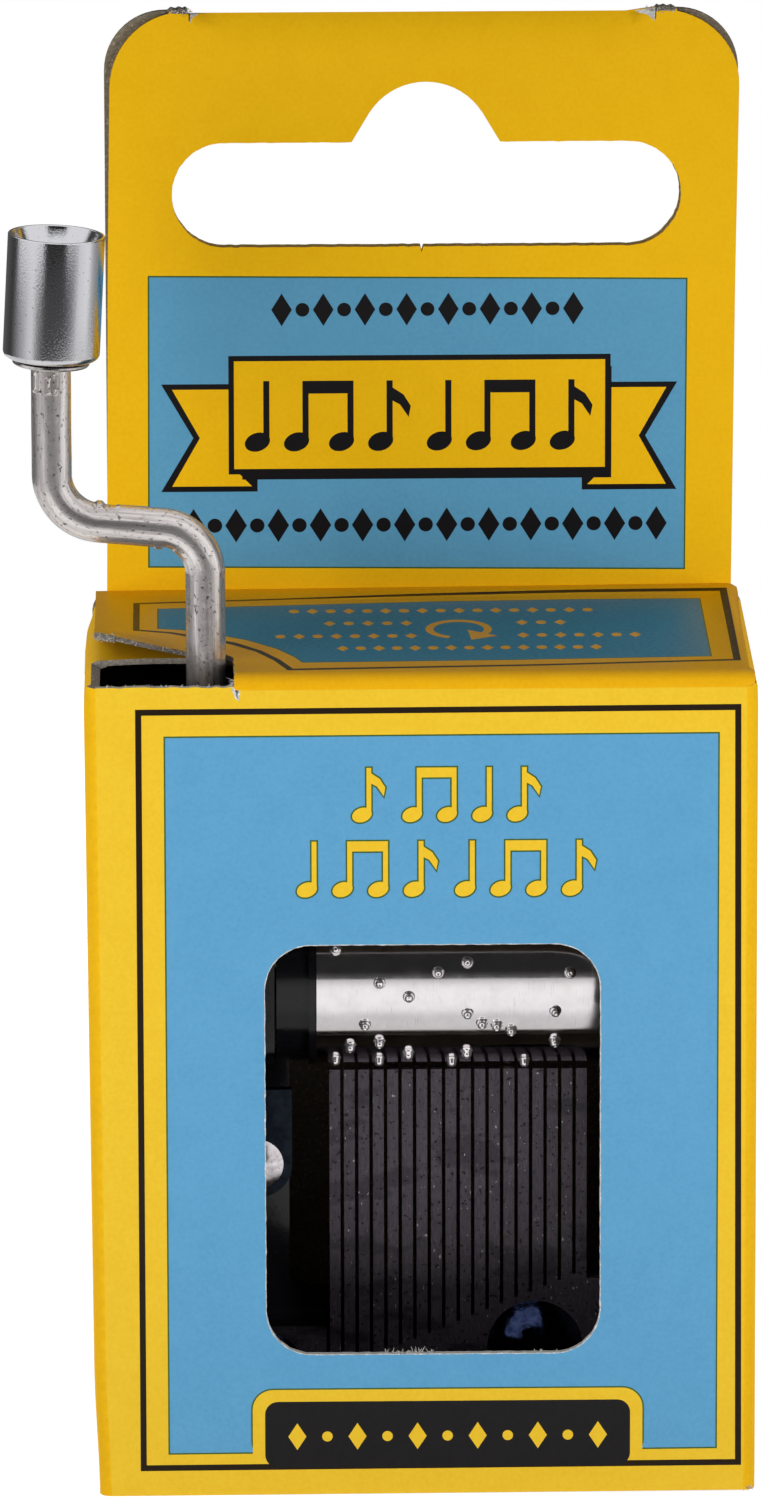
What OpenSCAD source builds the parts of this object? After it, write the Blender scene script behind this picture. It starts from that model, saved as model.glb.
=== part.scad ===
// Hand-cranked 18-note music box in a folded paperboard carton with a hang tab.
// Origin: middle of the carton's base. X to the right, Y to the rear, Z up. Millimetres.

/* [Carton] */
// Outer width of the carton
carton_w = 45; // [44.5:0.5:60]
// Outer depth of the carton, front to back
carton_d = 26; // [26:0.5:34]
// Outer height of the carton, without the hang tab
carton_h = 57.6; // [56.6:0.2:80]
// Thickness of the paperboard
board_t = 0.5; // [0.35:0.05:0.6]
// Outer radius of the two upright front folds
side_fold_r = 0.8; // [0.7:0.1:1.2]
// Outer radius of the fold along the top of the front
top_fold_r = 1; // [0.8:0.1:1.6]
// Length of each dust flap
dust_flap_len = 12; // [8:0.5:16]
// Width of each glue flap
glue_flap_w = 8; // [5:0.5:12]
// Length of the tuck tongue
tongue_len = 8.5; // [6:0.5:9]
// Lean of the tuck tongue from upright, in degrees
tongue_lean = 11; // [11:0.5:15]
// Gap between the closing flap and the walls around it
flap_gap = 0.12; // [0.08:0.02:0.2]

/* [Window] */
// Width of the window
window_w = 22.7; // [16:0.1:26]
// Height of the window
window_h = 28.8; // [20:0.1:34]
// Middle of the window, to the right of the carton's middle
window_x = 0.5; // [0:0.1:2]
// Lower edge of the window above the base
window_z = 10; // [9.6:0.1:12]
// Corner radius of the window
window_r = 3.1; // [2:0.1:5]

/* [Crank notch] */
// Gap between the crank's rod and the notch's right-hand end
notch_side_gap = 0.55; // [0.4:0.05:1.2]
// Gap between the crank's rod and the notch's rear edge
notch_back_gap = 0.95; // [0.5:0.05:1.2]
// Radius of the notch's inner corner
notch_r = 2.2; // [1:0.1:2.4]

/* [Hang tab] */
// Width of the hang tab
tab_w = 43.2; // [40:0.2:44]
// Height of the hang tab above the carton
tab_h = 41; // [36:0.2:50]
// Middle of the tab, to the right of the carton's middle
tab_x = 0.35; // [-0.5:0.05:0.5]
// Corner radius of the tab's front ply
tab_r = 5; // [4:0.2:8]
// How much tighter the rear ply's corners are rounded
ply_peek = 0.6; // [0.3:0.1:1.2]
// Length of the fold that joins the two plies along the top
ply_fold_len = 32; // [26:0.2:33]
// Overall width of the hanging slot
slot_w = 35; // [28:0.1:36]
// Height of the hanging slot
slot_h = 7.3; // [6:0.1:9]
// Lower edge of the slot above the carton
slot_rise = 24.3; // [20:0.1:25]
// Radius of the hump in the middle of the slot
hump_r = 4.55; // [3.5:0.05:5]
// How far the hump reaches above the slot
hump_h = 4.2; // [3:0.1:5]
// Width of the hump where it leaves the slot
hump_w = 10.2; // [9.6:0.1:11]

/* [Movement frame] */
// Gap between the moulded frame and the carton's walls
frame_gap = 0.4; // [0.3:0.05:0.6]
// Gap between the frame and the dust flaps above it
frame_top_gap = 3.43; // [1:0.01:6]
// Thickness of the frame's plate
frame_t = 3; // [2:0.1:3.2]
// Distance from the cylinder's axis back to the plate
frame_setback = 2.2; // [2.2:0.1:2.6]
// Thickness of the two ears that carry the cylinder
ear_t = 1.9; // [1.6:0.1:2.1]
// Reach of each ear in front of the cylinder's axis
ear_reach = 3.6; // [3:0.1:4]
// Radius of the corner posts
post_r = 2.6; // [2:0.1:2.8]
// Radius of the pilot hole in each post
post_hole_r = 0.9; // [0.6:0.1:1.1]
// Wall of the rim behind the plate
rim_t = 1.2; // [1:0.1:1.6]
// Depth of the rim behind the plate
rim_d = 3; // [2:0.1:4]

/* [Cylinder] */
// Radius of the pinned cylinder
cylinder_r = 7.2; // [7:0.05:7.25]
// Wall of the cylinder's tube
cylinder_wall = 0.8; // [0.5:0.05:1.2]
// Height of the cylinder's axis above the base
cylinder_z = 34.5; // [33.5:0.1:36]
// Radius of each music pin
pin_r = 0.27; // [0.2:0.01:0.3]
// Height of each music pin above the tube
pin_h = 0.5; // [0.35:0.01:0.55]
// Angle between two beats, in degrees
beat = 5; // [4:0.5:6]
// Radius of the steel arbor
arbor_r = 1; // [0.8:0.05:1.2]
// Radial running clearance of arbor, crankshaft and knob
running_gap = 0.04; // [0.03:0.01:0.08]
// Axial gap where turning pieces face fixed ones
end_gap = 0.12; // [0.08:0.01:0.2]

/* [Comb] */
// Number of teeth
teeth = 18; // [16:1:18]
// Distance from one tooth to the next
tooth_pitch = 1; // [0.9:0.01:1]
// Width of the saw cut between two teeth
saw_cut = 0.25; // [0.15:0.01:0.3]
// Thickness of the comb's root
comb_t = 1.2; // [1:0.1:1.4]
// Thickness of the ground teeth
tooth_t = 0.6; // [0.4:0.05:0.8]
// Gap between the tooth tips and the passing pins
tip_gap = 0.1; // [0.06:0.01:0.2]
// Length of the shortest tooth
treble_len = 14.75; // [14:0.05:15.5]
// How much longer each tooth is than its right-hand neighbour
bass_step = 0.42; // [0.3:0.01:0.42]
// Radius of each comb screw's head
comb_screw_head_r = 3.3; // [2.8:0.1:3.3]
// Height of each comb screw's domed head
comb_screw_head_h = 1.5; // [1:0.1:1.8]
// Radius of each comb screw's shank
comb_screw_r = 1; // [0.8:0.1:1.2]

/* [Worm drive] */
// Module of the worm and its wheel
gear_module = 0.5; // [0.48:0.01:0.5]
// Teeth on the worm wheel
wheel_teeth = 24; // [24:1:25]
// Pitch radius of the worm
worm_pitch_r = 2.3; // [2.2:0.05:2.35]
// Face width of the wheel
wheel_w = 3.4; // [2.8:0.1:3.6]
// Turns of thread on the worm
worm_turns = 4.5; // [3.5:1:5.5]
// Clearance on each flank of thread and tooth
flank_gap = 0.06; // [0.05:0.01:0.08]

/* [Crank bracket] */
// Thickness of the bracket's sheet
bracket_t = 0.8; // [0.6:0.1:0.9]
// Gap between the bracket and the carton's front
bracket_front_gap = 0.4; // [0.3:0.05:1]
// Clearance between the bracket and what turns inside it
bracket_gap = 0.2; // [0.15:0.05:0.3]
// Radius of each rivet head
rivet_head_r = 1.75; // [1.4:0.05:1.9]
// Radius of each rivet shank
rivet_r = 0.9; // [0.7:0.1:1.1]
// Height of the lower rivet above the base
rivet_z = 21.3; // [21:0.1:22]
// Distance of both rivets from the crankshaft's axis
rivet_offset = 3.36; // [3.3:0.02:3.5]

/* [Crank] */
// Radius of the crank's rod
rod_r = 1.35; // [1.2:0.05:1.4]
// Place of the crankshaft, to the left of the carton's middle
crank_offset = 14.7; // [14.6:0.05:14.9]
// Height of the shaft above the carton before the first bend
shaft_rise = 6; // [5:0.1:10]
// Throw of the crank, from the shaft to the knob's stem
crank_throw = 10.3; // [9:0.1:14]
// Centreline radius of the lower bend
lower_bend_r = 3.2; // [2.5:0.1:4]
// Centreline radius of the upper bend
upper_bend_r = 3.4; // [2.5:0.1:4]
// Upward slope of the arm between the bends, in degrees
arm_slope = 5; // [0:0.5:8]
// Length of the stem above the upper bend
stem_len = 7.5; // [5:0.1:10]

/* [Knob] */
// Radius of the knob
knob_r = 3.28; // [3:0.02:4]
// Length of the knob
knob_len = 8.5; // [8:0.1:14]
// Wall of the rim round the dished top
knob_wall = 0.3; // [0.2:0.05:0.6]
// Depth of the hollow top
cup_depth = 2.6; // [2.2:0.1:4]
// Radius of the pin that the knob turns on
spigot_r = 1.05; // [0.8:0.05:1.15]
// Lean of the knob away from upright, in degrees
knob_lean = 3; // [0:0.5:5]

/* [Hidden] */

$fn = 48;
eps = 0.01;
// how far cuts run past what they cut
over = 1;

// carton
front_y = -carton_d / 2;
back_y = carton_d / 2;
front_in_y = front_y + board_t;
back_in_y = back_y - board_t;
glue_in_y = back_in_y - board_t;
half_w = carton_w / 2;
in_w = half_w - board_t;
top_in_z = carton_h - board_t;
dust_in_z = top_in_z - board_t;
notch_z = carton_h - top_fold_r;
side_edge_gap = 0.2;
dust_end_gap = 0.3;
flap_hinge_z = board_t / 2;
flap_hinge_y = back_y - board_t / 2;
flap_top_gap = 0.04;
dust_bottom_z = board_t + flap_gap;
floor_z = dust_bottom_z + board_t;
tongue_swing = 1.5;
tongue_side_gap = 1.5;
tongue_r = 3;
glue_taper = 2;
tab_top_z = carton_h + tab_h;
fold_bead_r = board_t;
fold_dip = 0.25;
fold_mid_z = tab_top_z - fold_dip - fold_bead_r;
ply_spread = 0.15;
slot_bottom_z = carton_h + slot_rise;
slot_x = tab_x + 0.3;
slot_top_z = slot_bottom_z + slot_h;
hump_mid_z = slot_top_z + hump_h - hump_r;
hump_taper = 1.25;

// cylinder and comb
wheel_pitch_r = gear_module * wheel_teeth / 2;
worm_tip_r = worm_pitch_r + gear_module;
web_front_y = front_in_y + bracket_front_gap;
web_back_y = web_front_y + bracket_t;
crank_y = web_back_y + bracket_gap + worm_tip_r;
axis_y = crank_y + worm_pitch_r + wheel_pitch_r;
pin_tip_r = cylinder_r + pin_h;
comb_w = teeth * tooth_pitch - saw_cut;
comb_mid_x = 2.5;
comb_x0 = comb_mid_x - comb_w / 2;
comb_x1 = comb_mid_x + comb_w / 2;
cylinder_left = 1;
cylinder_right = 2.5;
cylinder_x0 = comb_x0 - cylinder_left;
cylinder_x1 = comb_x1 + cylinder_right;
hub_flange_t = 0.45;
hub_r = cylinder_r - 0.2;
hub_flange_r = cylinder_r + 0.1;
hub_len = 2.2;
hub_x0 = cylinder_x0 - hub_flange_t - hub_len;
cap_t = 0.5;
cap_boss_len = 1;
cap_boss_r = 2;
plug_len = 1.5;
left_ear_x1 = hub_x0 - end_gap;
left_ear_x0 = left_ear_x1 - ear_t;
right_ear_x0 = cylinder_x1 + cap_t + cap_boss_len + end_gap;
right_ear_x1 = right_ear_x0 + ear_t;
comb_front_y = axis_y - comb_t / 2;
comb_back_y = axis_y + comb_t / 2;
tooth_back_y = comb_front_y + tooth_t;
tip_z = cylinder_z - sqrt(pow(pin_tip_r + tip_gap, 2) - pow(max(0, -tooth_back_y + axis_y), 2));
treble_root_z = tip_z - treble_len;
bass_root_z = treble_root_z - (teeth - 2) * bass_step;
root_drop = 0.3;
comb_foot_gap = 0.45;
comb_foot_z = floor_z + comb_foot_gap;
lug_gap = 0.25;
bass_screw_side = 1.3;
lug_x1 = comb_x0 - lug_gap;
lug_x0 = lug_x1 - 2 * comb_screw_head_r - bass_screw_side;
lug_trim = 0.2;
lug_z1 = comb_foot_z + 2 * comb_screw_head_r - lug_trim;
comb_heel_w = 1.2;
bass_screw = [lug_x0 + comb_screw_head_r, lug_z1 - comb_screw_head_r];
treble_screw_side = 5.3;
treble_screw_drop = 5.2;
treble_screw = [comb_mid_x + treble_screw_side, treble_root_z - treble_screw_drop];
weighted_teeth = 8;
weight_t = 1.4;
weight_inset = 0.075;
weight_foot = 7.2;
weight_len = 5.2;
weight_step = 0.35;
screw_recess_w = 0.8;
screw_recess_len = 3.4;
screw_recess_d = 0.9;
screw_end_gap = 1.2;

// bush and shaft sizes
bush_wall = 0.9;
arbor_bush_r = arbor_r + running_gap + bush_wall;
shaft_bush_r = rod_r + running_gap + 0.5;
bush_flange_t = 0.5;
bush_stand = 0.3;
bush_flange_r = shaft_bush_r + bush_flange_t;

// worm drive
crank_x = -crank_offset;
wheel_tip_r = wheel_pitch_r + gear_module;
dedendum = 1.25;
tip_relief = 1.05;
wheel_root_r = wheel_pitch_r - dedendum * gear_module;
notch_x = crank_x + rod_r + notch_side_gap;
notch_y = crank_y + rod_r + notch_back_gap;
worm_lead = PI * gear_module;
worm_dedendum = 1.2;
worm_root_r = worm_pitch_r - worm_dedendum * gear_module;
collar_len = 1.2;
sleeve_relief = 0.1;
pressure_angle = 20;
worm_len = worm_turns * worm_lead;
lead_angle = atan(worm_lead / (2 * PI * worm_pitch_r));
wheel_slant = wheel_w * tan(lead_angle) / wheel_pitch_r * 180 / PI;
wheel_x0 = crank_x - wheel_w / 2;
wheel_x1 = crank_x + wheel_w / 2;
wheel_boss_r = 2;
wheel_rim = 1;
dish_margin = 0.4;
clip_t = 0.5;
clip_r = 2;
clip_mouth = 1.4;
arbor_end = 0.5;
arbor_x0 = wheel_x0 - clip_t - arbor_end;
arbor_x1 = right_ear_x1 + arbor_end;

// bracket
arm_gap = 1.4;
arm_rise = wheel_tip_r + arm_gap;
lower_arm_z = cylinder_z - arm_rise;
upper_arm_z = cylinder_z + arm_rise;
lug_setback = 3;
lug_front_y = crank_y + lug_setback;
lug_back_y = lug_front_y + bracket_t;
bracket_side = 3.55;
bracket_x0 = crank_x - bracket_side;
bracket_x1 = crank_x + bracket_side;
rivet_x = crank_x + rivet_offset;
rivet_z2 = 2 * cylinder_z - rivet_z;
lug_r = 2.35;
lug_reach = 5.7;
lug_edge_x = crank_x + lug_reach;
lug_drop = 2.2;
rivet_grip = 3;
rivet_boss_r = 2.2;
rivet_head_h = 0.5;

// frame
plate_y0 = axis_y + frame_setback;
plate_y1 = plate_y0 + frame_t;
frame_x = half_w - board_t - frame_gap;
frame_z0 = floor_z + 0.05;
frame_z1 = dust_in_z - frame_top_gap;
frame_r = 2;
well_gap = 0.5;
opening_side = 2.75;
opening_drop = 2.3;
opening_rise = 2;
opening_x0 = comb_x0 - opening_side;
opening_x1 = right_ear_x0 - well_gap;
opening_z0 = treble_root_z - opening_drop;
opening_z1 = cylinder_z + cylinder_r + opening_rise;
opening_r = 1.6;
clear_r = hub_flange_r + well_gap;
ear_half = 7.6;
ear_len = ear_reach + frame_setback + frame_t / 2;
ear_corner_r = 2.6;
post_inset = 3.2;
post_y1 = glue_in_y - 0.1;
post_hole_len = 5;

// crank
bend_turn = 90 - arm_slope;
bend_run = (lower_bend_r + upper_bend_r) * (1 - cos(bend_turn));
arm_len = (crank_throw - bend_run) / cos(arm_slope);
shaft_top_z = carton_h + shaft_rise;
shaft_foot = 1;
shaft_foot_z = lower_arm_z - bracket_t - shaft_foot;
stem_x = crank_x - crank_throw;
stem_z0 = shaft_top_z + (lower_bend_r + upper_bend_r) * sin(bend_turn) + arm_len * sin(arm_slope);
stem_z1 = stem_z0 + stem_len;
stem_end_z = stem_z1 - rod_r * sin(knob_lean);
washer_t = 0.35;
washer_r = 2.6;
spigot_len = washer_t + end_gap + knob_len - cup_depth + end_gap;
spigot_root = 0.5;
rivet_top_r = 1.9;
rivet_top_h = 0.6;
bend_lap = 0.2;
bend_step = 0.015;

// [tooth, beat] of the notes that face the window
front_notes = [
  [1, 3.9], [10, 2.4], [8, 1.3], [17, 1.2], [4, 0.2], [6, -1.4], [16, -3.2], [10, -3.4],
  [11, -4.7], [12, -5], [3, -4.8], [13, -5.7], [4, -7.5], [16, -7.5], [2, -8.2], [10, -9.6],
  [6, -9.8], [1, -11.3], [4, -11.6], [9, -12], [14, -12.4]
];
back_beats = [for (b = [8 : 1.5 : 54]) b];

// 2D profile in Y and Z, swept along X from x0 to x1
module along_x(x0, x1) {
  translate([x0, 0, 0])
    rotate([90, 0, 90])
      linear_extrude(x1 - x0) children();
}

// 2D profile in X and Z, swept along Y from y0 to y1
module along_y(y0, y1) {
  translate([0, y1, 0])
    rotate([90, 0, 0])
      linear_extrude(y1 - y0) children();
}

// Round bar along X
module bar_x(x0, x1, r) {
  translate([x0, 0, 0])
    rotate([0, 90, 0])
      cylinder(r = r, h = x1 - x0);
}

// Round bar along Y, centred on a point of X and Z
module bar_y(y0, y1, at, r) {
  translate([at[0], y0, at[1]])
    rotate([-90, 0, 0])
      cylinder(r = r, h = y1 - y0);
}

// Rectangle with round corners, given by its two opposite corners
module round_box(low, high, r) {
  translate([low[0] + r, low[1]])
    square([high[0] - low[0] - 2 * r, high[1] - low[1]]);
  translate([low[0], low[1] + r])
    square([high[0] - low[0], high[1] - low[1] - 2 * r]);
  for (x = [low[0] + r, high[0] - r], z = [low[1] + r, high[1] - r])
    translate([x, z]) circle(r);
}

// ---- carton ----

module window_outline() {
  round_box(
    [window_x - window_w / 2, window_z],
    [window_x + window_w / 2, window_z + window_h], window_r);
}

module front_panel() {
  color("#f2c534")
    along_y(front_y, front_in_y)
      difference() {
        translate([-half_w + side_fold_r, 0])
          square([carton_w - 2 * side_fold_r, notch_z]);
        window_outline();
      }
}

// Plan of a right-hand side wall with its round front fold
module side_plan() {
  translate([in_w, front_y + side_fold_r])
    square([board_t, back_in_y - front_y - side_fold_r]);
  translate([half_w - side_fold_r, front_y + side_fold_r])
    intersection() {
      difference() {
        circle(side_fold_r);
        circle(side_fold_r - board_t);
      }
      translate([0, -side_fold_r])
        square([side_fold_r, side_fold_r]);
    }
}

module side_panel() {
  difference() {
    translate([0, 0, dust_bottom_z])
      linear_extrude(top_in_z - dust_bottom_z)
        side_plan();
    translate([0, front_y - over, notch_z])
      cube([half_w + over, side_fold_r + over, top_fold_r]);
  }
}

module right_side_panel() {
  color("#e9bb30") side_panel();
}

module left_side_panel() {
  color("#e9bb30") mirror([1, 0, 0]) side_panel();
}

module back_panel() {
  color("#e6b82e")
    translate([-half_w, back_in_y, board_t + flap_top_gap])
      cube([carton_w, board_t, carton_h - board_t - flap_top_gap]);
}

module notch_cut() {
  translate([-half_w - over, front_y - over])
    square([notch_x - notch_r + half_w + over, notch_y - front_y + over]);
  translate([-half_w - over, front_y - over])
    square([notch_x + half_w + over, notch_y - notch_r - front_y + over]);
  translate([notch_x - notch_r, notch_y - notch_r])
    circle(notch_r);
}

module top_panel() {
  color("#d9a41f")
    difference() {
      union() {
        translate([-half_w + side_edge_gap, front_y + top_fold_r, top_in_z])
          cube([carton_w - 2 * side_edge_gap, glue_in_y - front_y - top_fold_r, board_t]);
        along_x(-half_w + side_fold_r, half_w - side_fold_r)
          translate([front_y + top_fold_r, notch_z])
            intersection() {
              difference() {
                circle(top_fold_r);
                circle(top_fold_r - board_t);
              }
              translate([-top_fold_r, 0])
                square([top_fold_r, top_fold_r]);
            }
      }
      translate([0, 0, notch_z - eps])
        linear_extrude(top_fold_r + over)
          notch_cut();
    }
}

// Hanging slot with its middle hump
module slot_outline() {
  round_box(
    [slot_x - slot_w / 2, slot_bottom_z],
    [slot_x + slot_w / 2, slot_top_z], slot_h / 2 - eps);
  translate([slot_x, hump_mid_z]) circle(hump_r);
  polygon([
    [slot_x - hump_w / 2, slot_top_z - over],
    [slot_x - hump_w / 2, slot_top_z],
    [slot_x - hump_w / 2 + hump_taper, slot_top_z + hump_h / 2],
    [slot_x + hump_w / 2 - hump_taper, slot_top_z + hump_h / 2],
    [slot_x + hump_w / 2, slot_top_z],
    [slot_x + hump_w / 2, slot_top_z - over]
  ]);
}

// One ply of the hang tab, notched along the top for the fold
module ply_outline(low_z, half, r) {
  difference() {
    union() {
      round_box([tab_x - half, low_z], [tab_x + half, tab_top_z], r);
      translate([tab_x - half, low_z])
        square([2 * half, r]);
    }
    slot_outline();
    translate([tab_x - ply_fold_len / 2, fold_mid_z])
      square([ply_fold_len, 2 * fold_bead_r]);
  }
}

module hang_tab_front_ply() {
  color("#d9a712") {
    along_y(glue_in_y, back_in_y)
      ply_outline(top_in_z, tab_w / 2, tab_r);
    translate([tab_x - ply_fold_len / 2, 0, 0])
      difference() {
        translate([0, back_in_y, fold_mid_z])
          bar_x(0, ply_fold_len, fold_bead_r);
        translate([-over, glue_in_y - over, fold_mid_z - 2 * fold_bead_r])
          cube([ply_fold_len + 2 * over, 4 * over, 2 * fold_bead_r]);
      }
  }
}

module hang_tab_back_ply() {
  color("#e0ae1c")
    along_y(back_in_y, back_y)
      ply_outline(carton_h, tab_w / 2 + ply_spread, tab_r - ply_peek);
}

module glue_flap() {
  along_y(glue_in_y, back_in_y)
    polygon([
      [in_w, floor_z + eps],
      [in_w, dust_in_z - eps],
      [in_w - glue_flap_w, dust_in_z - glue_taper],
      [in_w - glue_flap_w, floor_z + glue_taper]
    ]);
}

module right_glue_flap() {
  color("#bdb5a4") glue_flap();
}

module left_glue_flap() {
  color("#bdb5a4") mirror([1, 0, 0]) glue_flap();
}

module right_top_dust_flap() {
  color("#cfc6b2")
    translate([in_w - dust_flap_len, front_y + top_fold_r + dust_end_gap, dust_in_z])
      cube([dust_flap_len, glue_in_y - dust_end_gap - front_y - top_fold_r - dust_end_gap, board_t]);
}

module left_top_dust_flap() {
  color("#cfc6b2")
    translate([-in_w, notch_y, dust_in_z])
      cube([dust_flap_len, glue_in_y - dust_end_gap - notch_y, board_t]);
}

module bottom_dust_flap() {
  front_end = front_in_y + tongue_swing;
  translate([in_w - dust_flap_len, front_end, dust_bottom_z])
    cube([dust_flap_len, back_in_y - front_end, board_t]);
}

module right_bottom_dust_flap() {
  color("#cfc6b2") bottom_dust_flap();
}

module left_bottom_dust_flap() {
  color("#cfc6b2") mirror([1, 0, 0]) bottom_dust_flap();
}

module bottom_flap() {
  front_edge = front_in_y + flap_gap;
  color("#e9bb30") {
    translate([-in_w, front_edge, 0])
      cube([2 * in_w, flap_hinge_y - front_edge, board_t]);
    translate([0, flap_hinge_y, flap_hinge_z])
      bar_x(-in_w, in_w, board_t / 2);
  }
}

module tuck_tongue() {
  foot_y = front_in_y + flap_gap;
  tip_y = foot_y + tongue_len * sin(tongue_lean);
  tip_z = board_t + tongue_len * cos(tongue_lean);
  color("#cfc6b2")
    intersection() {
      along_x(-in_w, in_w)
        polygon([[foot_y, board_t], [foot_y + board_t, board_t], [tip_y + board_t, tip_z], [tip_y, tip_z]]);
      along_y(foot_y - over, tip_y + 2 * over)
        round_box([-in_w + tongue_side_gap, -tongue_r], [in_w - tongue_side_gap, tip_z + eps], tongue_r);
    }
}

// ---- movement: fixed pieces ----

module frame_plate_outline() {
  difference() {
    round_box([-frame_x, frame_z0], [frame_x, frame_z1], frame_r);
    round_box([opening_x0, opening_z0], [opening_x1, opening_z1], opening_r);
    translate([left_ear_x1, cylinder_z - clear_r])
      square([opening_x0 - left_ear_x1 + opening_r, 2 * clear_r]);
    translate([arbor_x0 - well_gap, cylinder_z - wheel_tip_r - well_gap])
      square([left_ear_x0 - arbor_x0, 2 * (wheel_tip_r + well_gap)]);
  }
}

module ear(x0, x1) {
  along_x(x0, x1)
    difference() {
      union() {
        translate([axis_y - ear_reach, cylinder_z - ear_half + ear_corner_r])
          square([ear_len, 2 * (ear_half - ear_corner_r)]);
        translate([axis_y - ear_reach + ear_corner_r, cylinder_z - ear_half])
          square([ear_len - ear_corner_r, 2 * ear_half]);
        for (s = [-1, 1])
          translate([axis_y - ear_reach + ear_corner_r, cylinder_z + s * (ear_half - ear_corner_r)])
            circle(ear_corner_r);
      }
      translate([axis_y, cylinder_z]) circle(arbor_bush_r);
    }
}

// Pad under the comb's root, kept clear of the free teeth
module comb_seat_outline() {
  polygon([
    [lug_x0, comb_foot_z],
    [comb_x1 + comb_heel_w, comb_foot_z],
    [comb_x1 + comb_heel_w, treble_root_z - root_drop],
    [comb_x1, treble_root_z - root_drop],
    [comb_x0, bass_root_z - root_drop],
    [lug_x1, bass_root_z - root_drop],
    [lug_x1, lug_z1],
    [lug_x0, lug_z1]
  ]);
}

module movement_frame() {
  color("#1b1b1e")
    difference() {
      union() {
        along_y(plate_y0, plate_y1)
          frame_plate_outline();
        along_y(plate_y1 - eps, plate_y1 + rim_d)
          difference() {
            round_box([-frame_x, frame_z0], [frame_x, frame_z1], frame_r);
            round_box(
              [-frame_x + rim_t, frame_z0 + rim_t],
              [frame_x - rim_t, frame_z1 - rim_t], frame_r - rim_t / 2);
          }
        ear(left_ear_x0, left_ear_x1);
        ear(right_ear_x0, right_ear_x1);
        along_y(comb_back_y, plate_y0 + eps)
          comb_seat_outline();
        for (z = [rivet_z, rivet_z2])
          bar_y(lug_back_y, plate_y0 + eps, [rivet_x, z], rivet_boss_r);
        for (x = [-1, 1], z = [frame_z0 + post_inset, frame_z1 - post_inset])
          bar_y(plate_y1 - eps, post_y1, [x * (frame_x - post_inset), z], post_r);
      }
      for (x = [-1, 1], z = [frame_z0 + post_inset, frame_z1 - post_inset])
        bar_y(post_y1 - post_hole_len, post_y1 + over, [x * (frame_x - post_inset), z], post_hole_r);
      for (z = [rivet_z, rivet_z2])
        bar_y(lug_back_y - over, lug_back_y + rivet_grip, [rivet_x, z], rivet_r);
      for (at = [bass_screw, treble_screw])
        bar_y(comb_back_y - over, plate_y1 - screw_end_gap + eps, at, comb_screw_r);
    }
}

function slot_root_z(i) = treble_root_z - (teeth - 1 - i) * bass_step;

module comb() {
  color("#6f6d72")
    difference() {
      union() {
        along_y(comb_front_y, comb_back_y)
          comb_seat_outline();
        along_y(comb_front_y, tooth_back_y)
          polygon([
            [comb_x0, bass_root_z - root_drop - eps],
            [comb_x1, treble_root_z - root_drop - eps],
            [comb_x1, tip_z],
            [comb_x0, tip_z]
          ]);
      }
      for (i = [1 : teeth - 1])
        translate([comb_x0 + i * tooth_pitch - saw_cut, comb_front_y - over, slot_root_z(i)])
          cube([saw_cut, comb_t + 2 * over, tip_z]);
      for (at = [bass_screw, treble_screw])
        bar_y(comb_front_y - over, comb_back_y + over, at, comb_screw_r);
    }
}

module bass_weights() {
  weight_w = tooth_pitch - saw_cut - 2 * weight_inset;
  color("#8d8f93")
    for (i = [0 : weighted_teeth - 1])
      translate([comb_x0 + i * tooth_pitch + weight_inset, tooth_back_y,
                 tip_z - weight_foot + weight_step * i])
        cube([weight_w, weight_t, weight_len - weight_step * i]);
}

module comb_screw(at) {
  dome_r = (pow(comb_screw_head_r, 2) + pow(comb_screw_head_h, 2)) / (2 * comb_screw_head_h);
  shank_len = plate_y1 - screw_end_gap - comb_front_y;
  translate([at[0], comb_front_y, at[1]])
    rotate([90, 0, 0]) {
      difference() {
        intersection() {
          translate([0, 0, comb_screw_head_h - dome_r])
            sphere(dome_r);
          cylinder(r = comb_screw_head_r, h = comb_screw_head_h);
        }
        for (turn = [20, 110])
          rotate([0, 0, turn])
            translate([-screw_recess_len / 2, -screw_recess_w / 2, comb_screw_head_h - screw_recess_d])
              cube([screw_recess_len, screw_recess_w, screw_recess_d + over]);
      }
      translate([0, 0, -shank_len])
        cylinder(r = comb_screw_r, h = shank_len + eps);
    }
}

module comb_screws() {
  color("#9aa7b5")
    for (at = [bass_screw, treble_screw])
      comb_screw(at);
}

// Front view of one riveted lug; side is -1 below the cylinder and 1 above it
module lug_outline(side) {
  z_rivet = side < 0 ? rivet_z : rivet_z2;
  z_arm = cylinder_z + side * arm_rise;
  z_corner = z_arm + side * lug_drop;
  translate([rivet_x, z_rivet]) circle(lug_r);
  polygon([
    [rivet_x - lug_r, z_rivet],
    [rivet_x - lug_r, z_arm],
    [lug_edge_x, z_arm],
    [lug_edge_x, z_corner],
    [rivet_x + lug_r, z_rivet]
  ]);
}

module crank_bracket() {
  color("#26272b")
    difference() {
      union() {
        translate([bracket_x0, web_front_y, lower_arm_z - bracket_t])
          cube([bracket_x1 - bracket_x0, bracket_t, 2 * arm_rise + 2 * bracket_t]);
        for (z = [lower_arm_z - bracket_t, upper_arm_z])
          translate([bracket_x0, web_front_y, z])
            cube([bracket_x1 - bracket_x0, lug_back_y - web_front_y, bracket_t]);
        for (side = [-1, 1])
          along_y(lug_front_y, lug_back_y)
            lug_outline(side);
      }
      translate([crank_x, crank_y, shaft_foot_z - over])
        cylinder(r = shaft_bush_r, h = 4 * arm_rise);
      for (z = [rivet_z, rivet_z2])
        bar_y(lug_front_y - over, lug_back_y + over, [rivet_x, z], rivet_r);
    }
}

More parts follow.
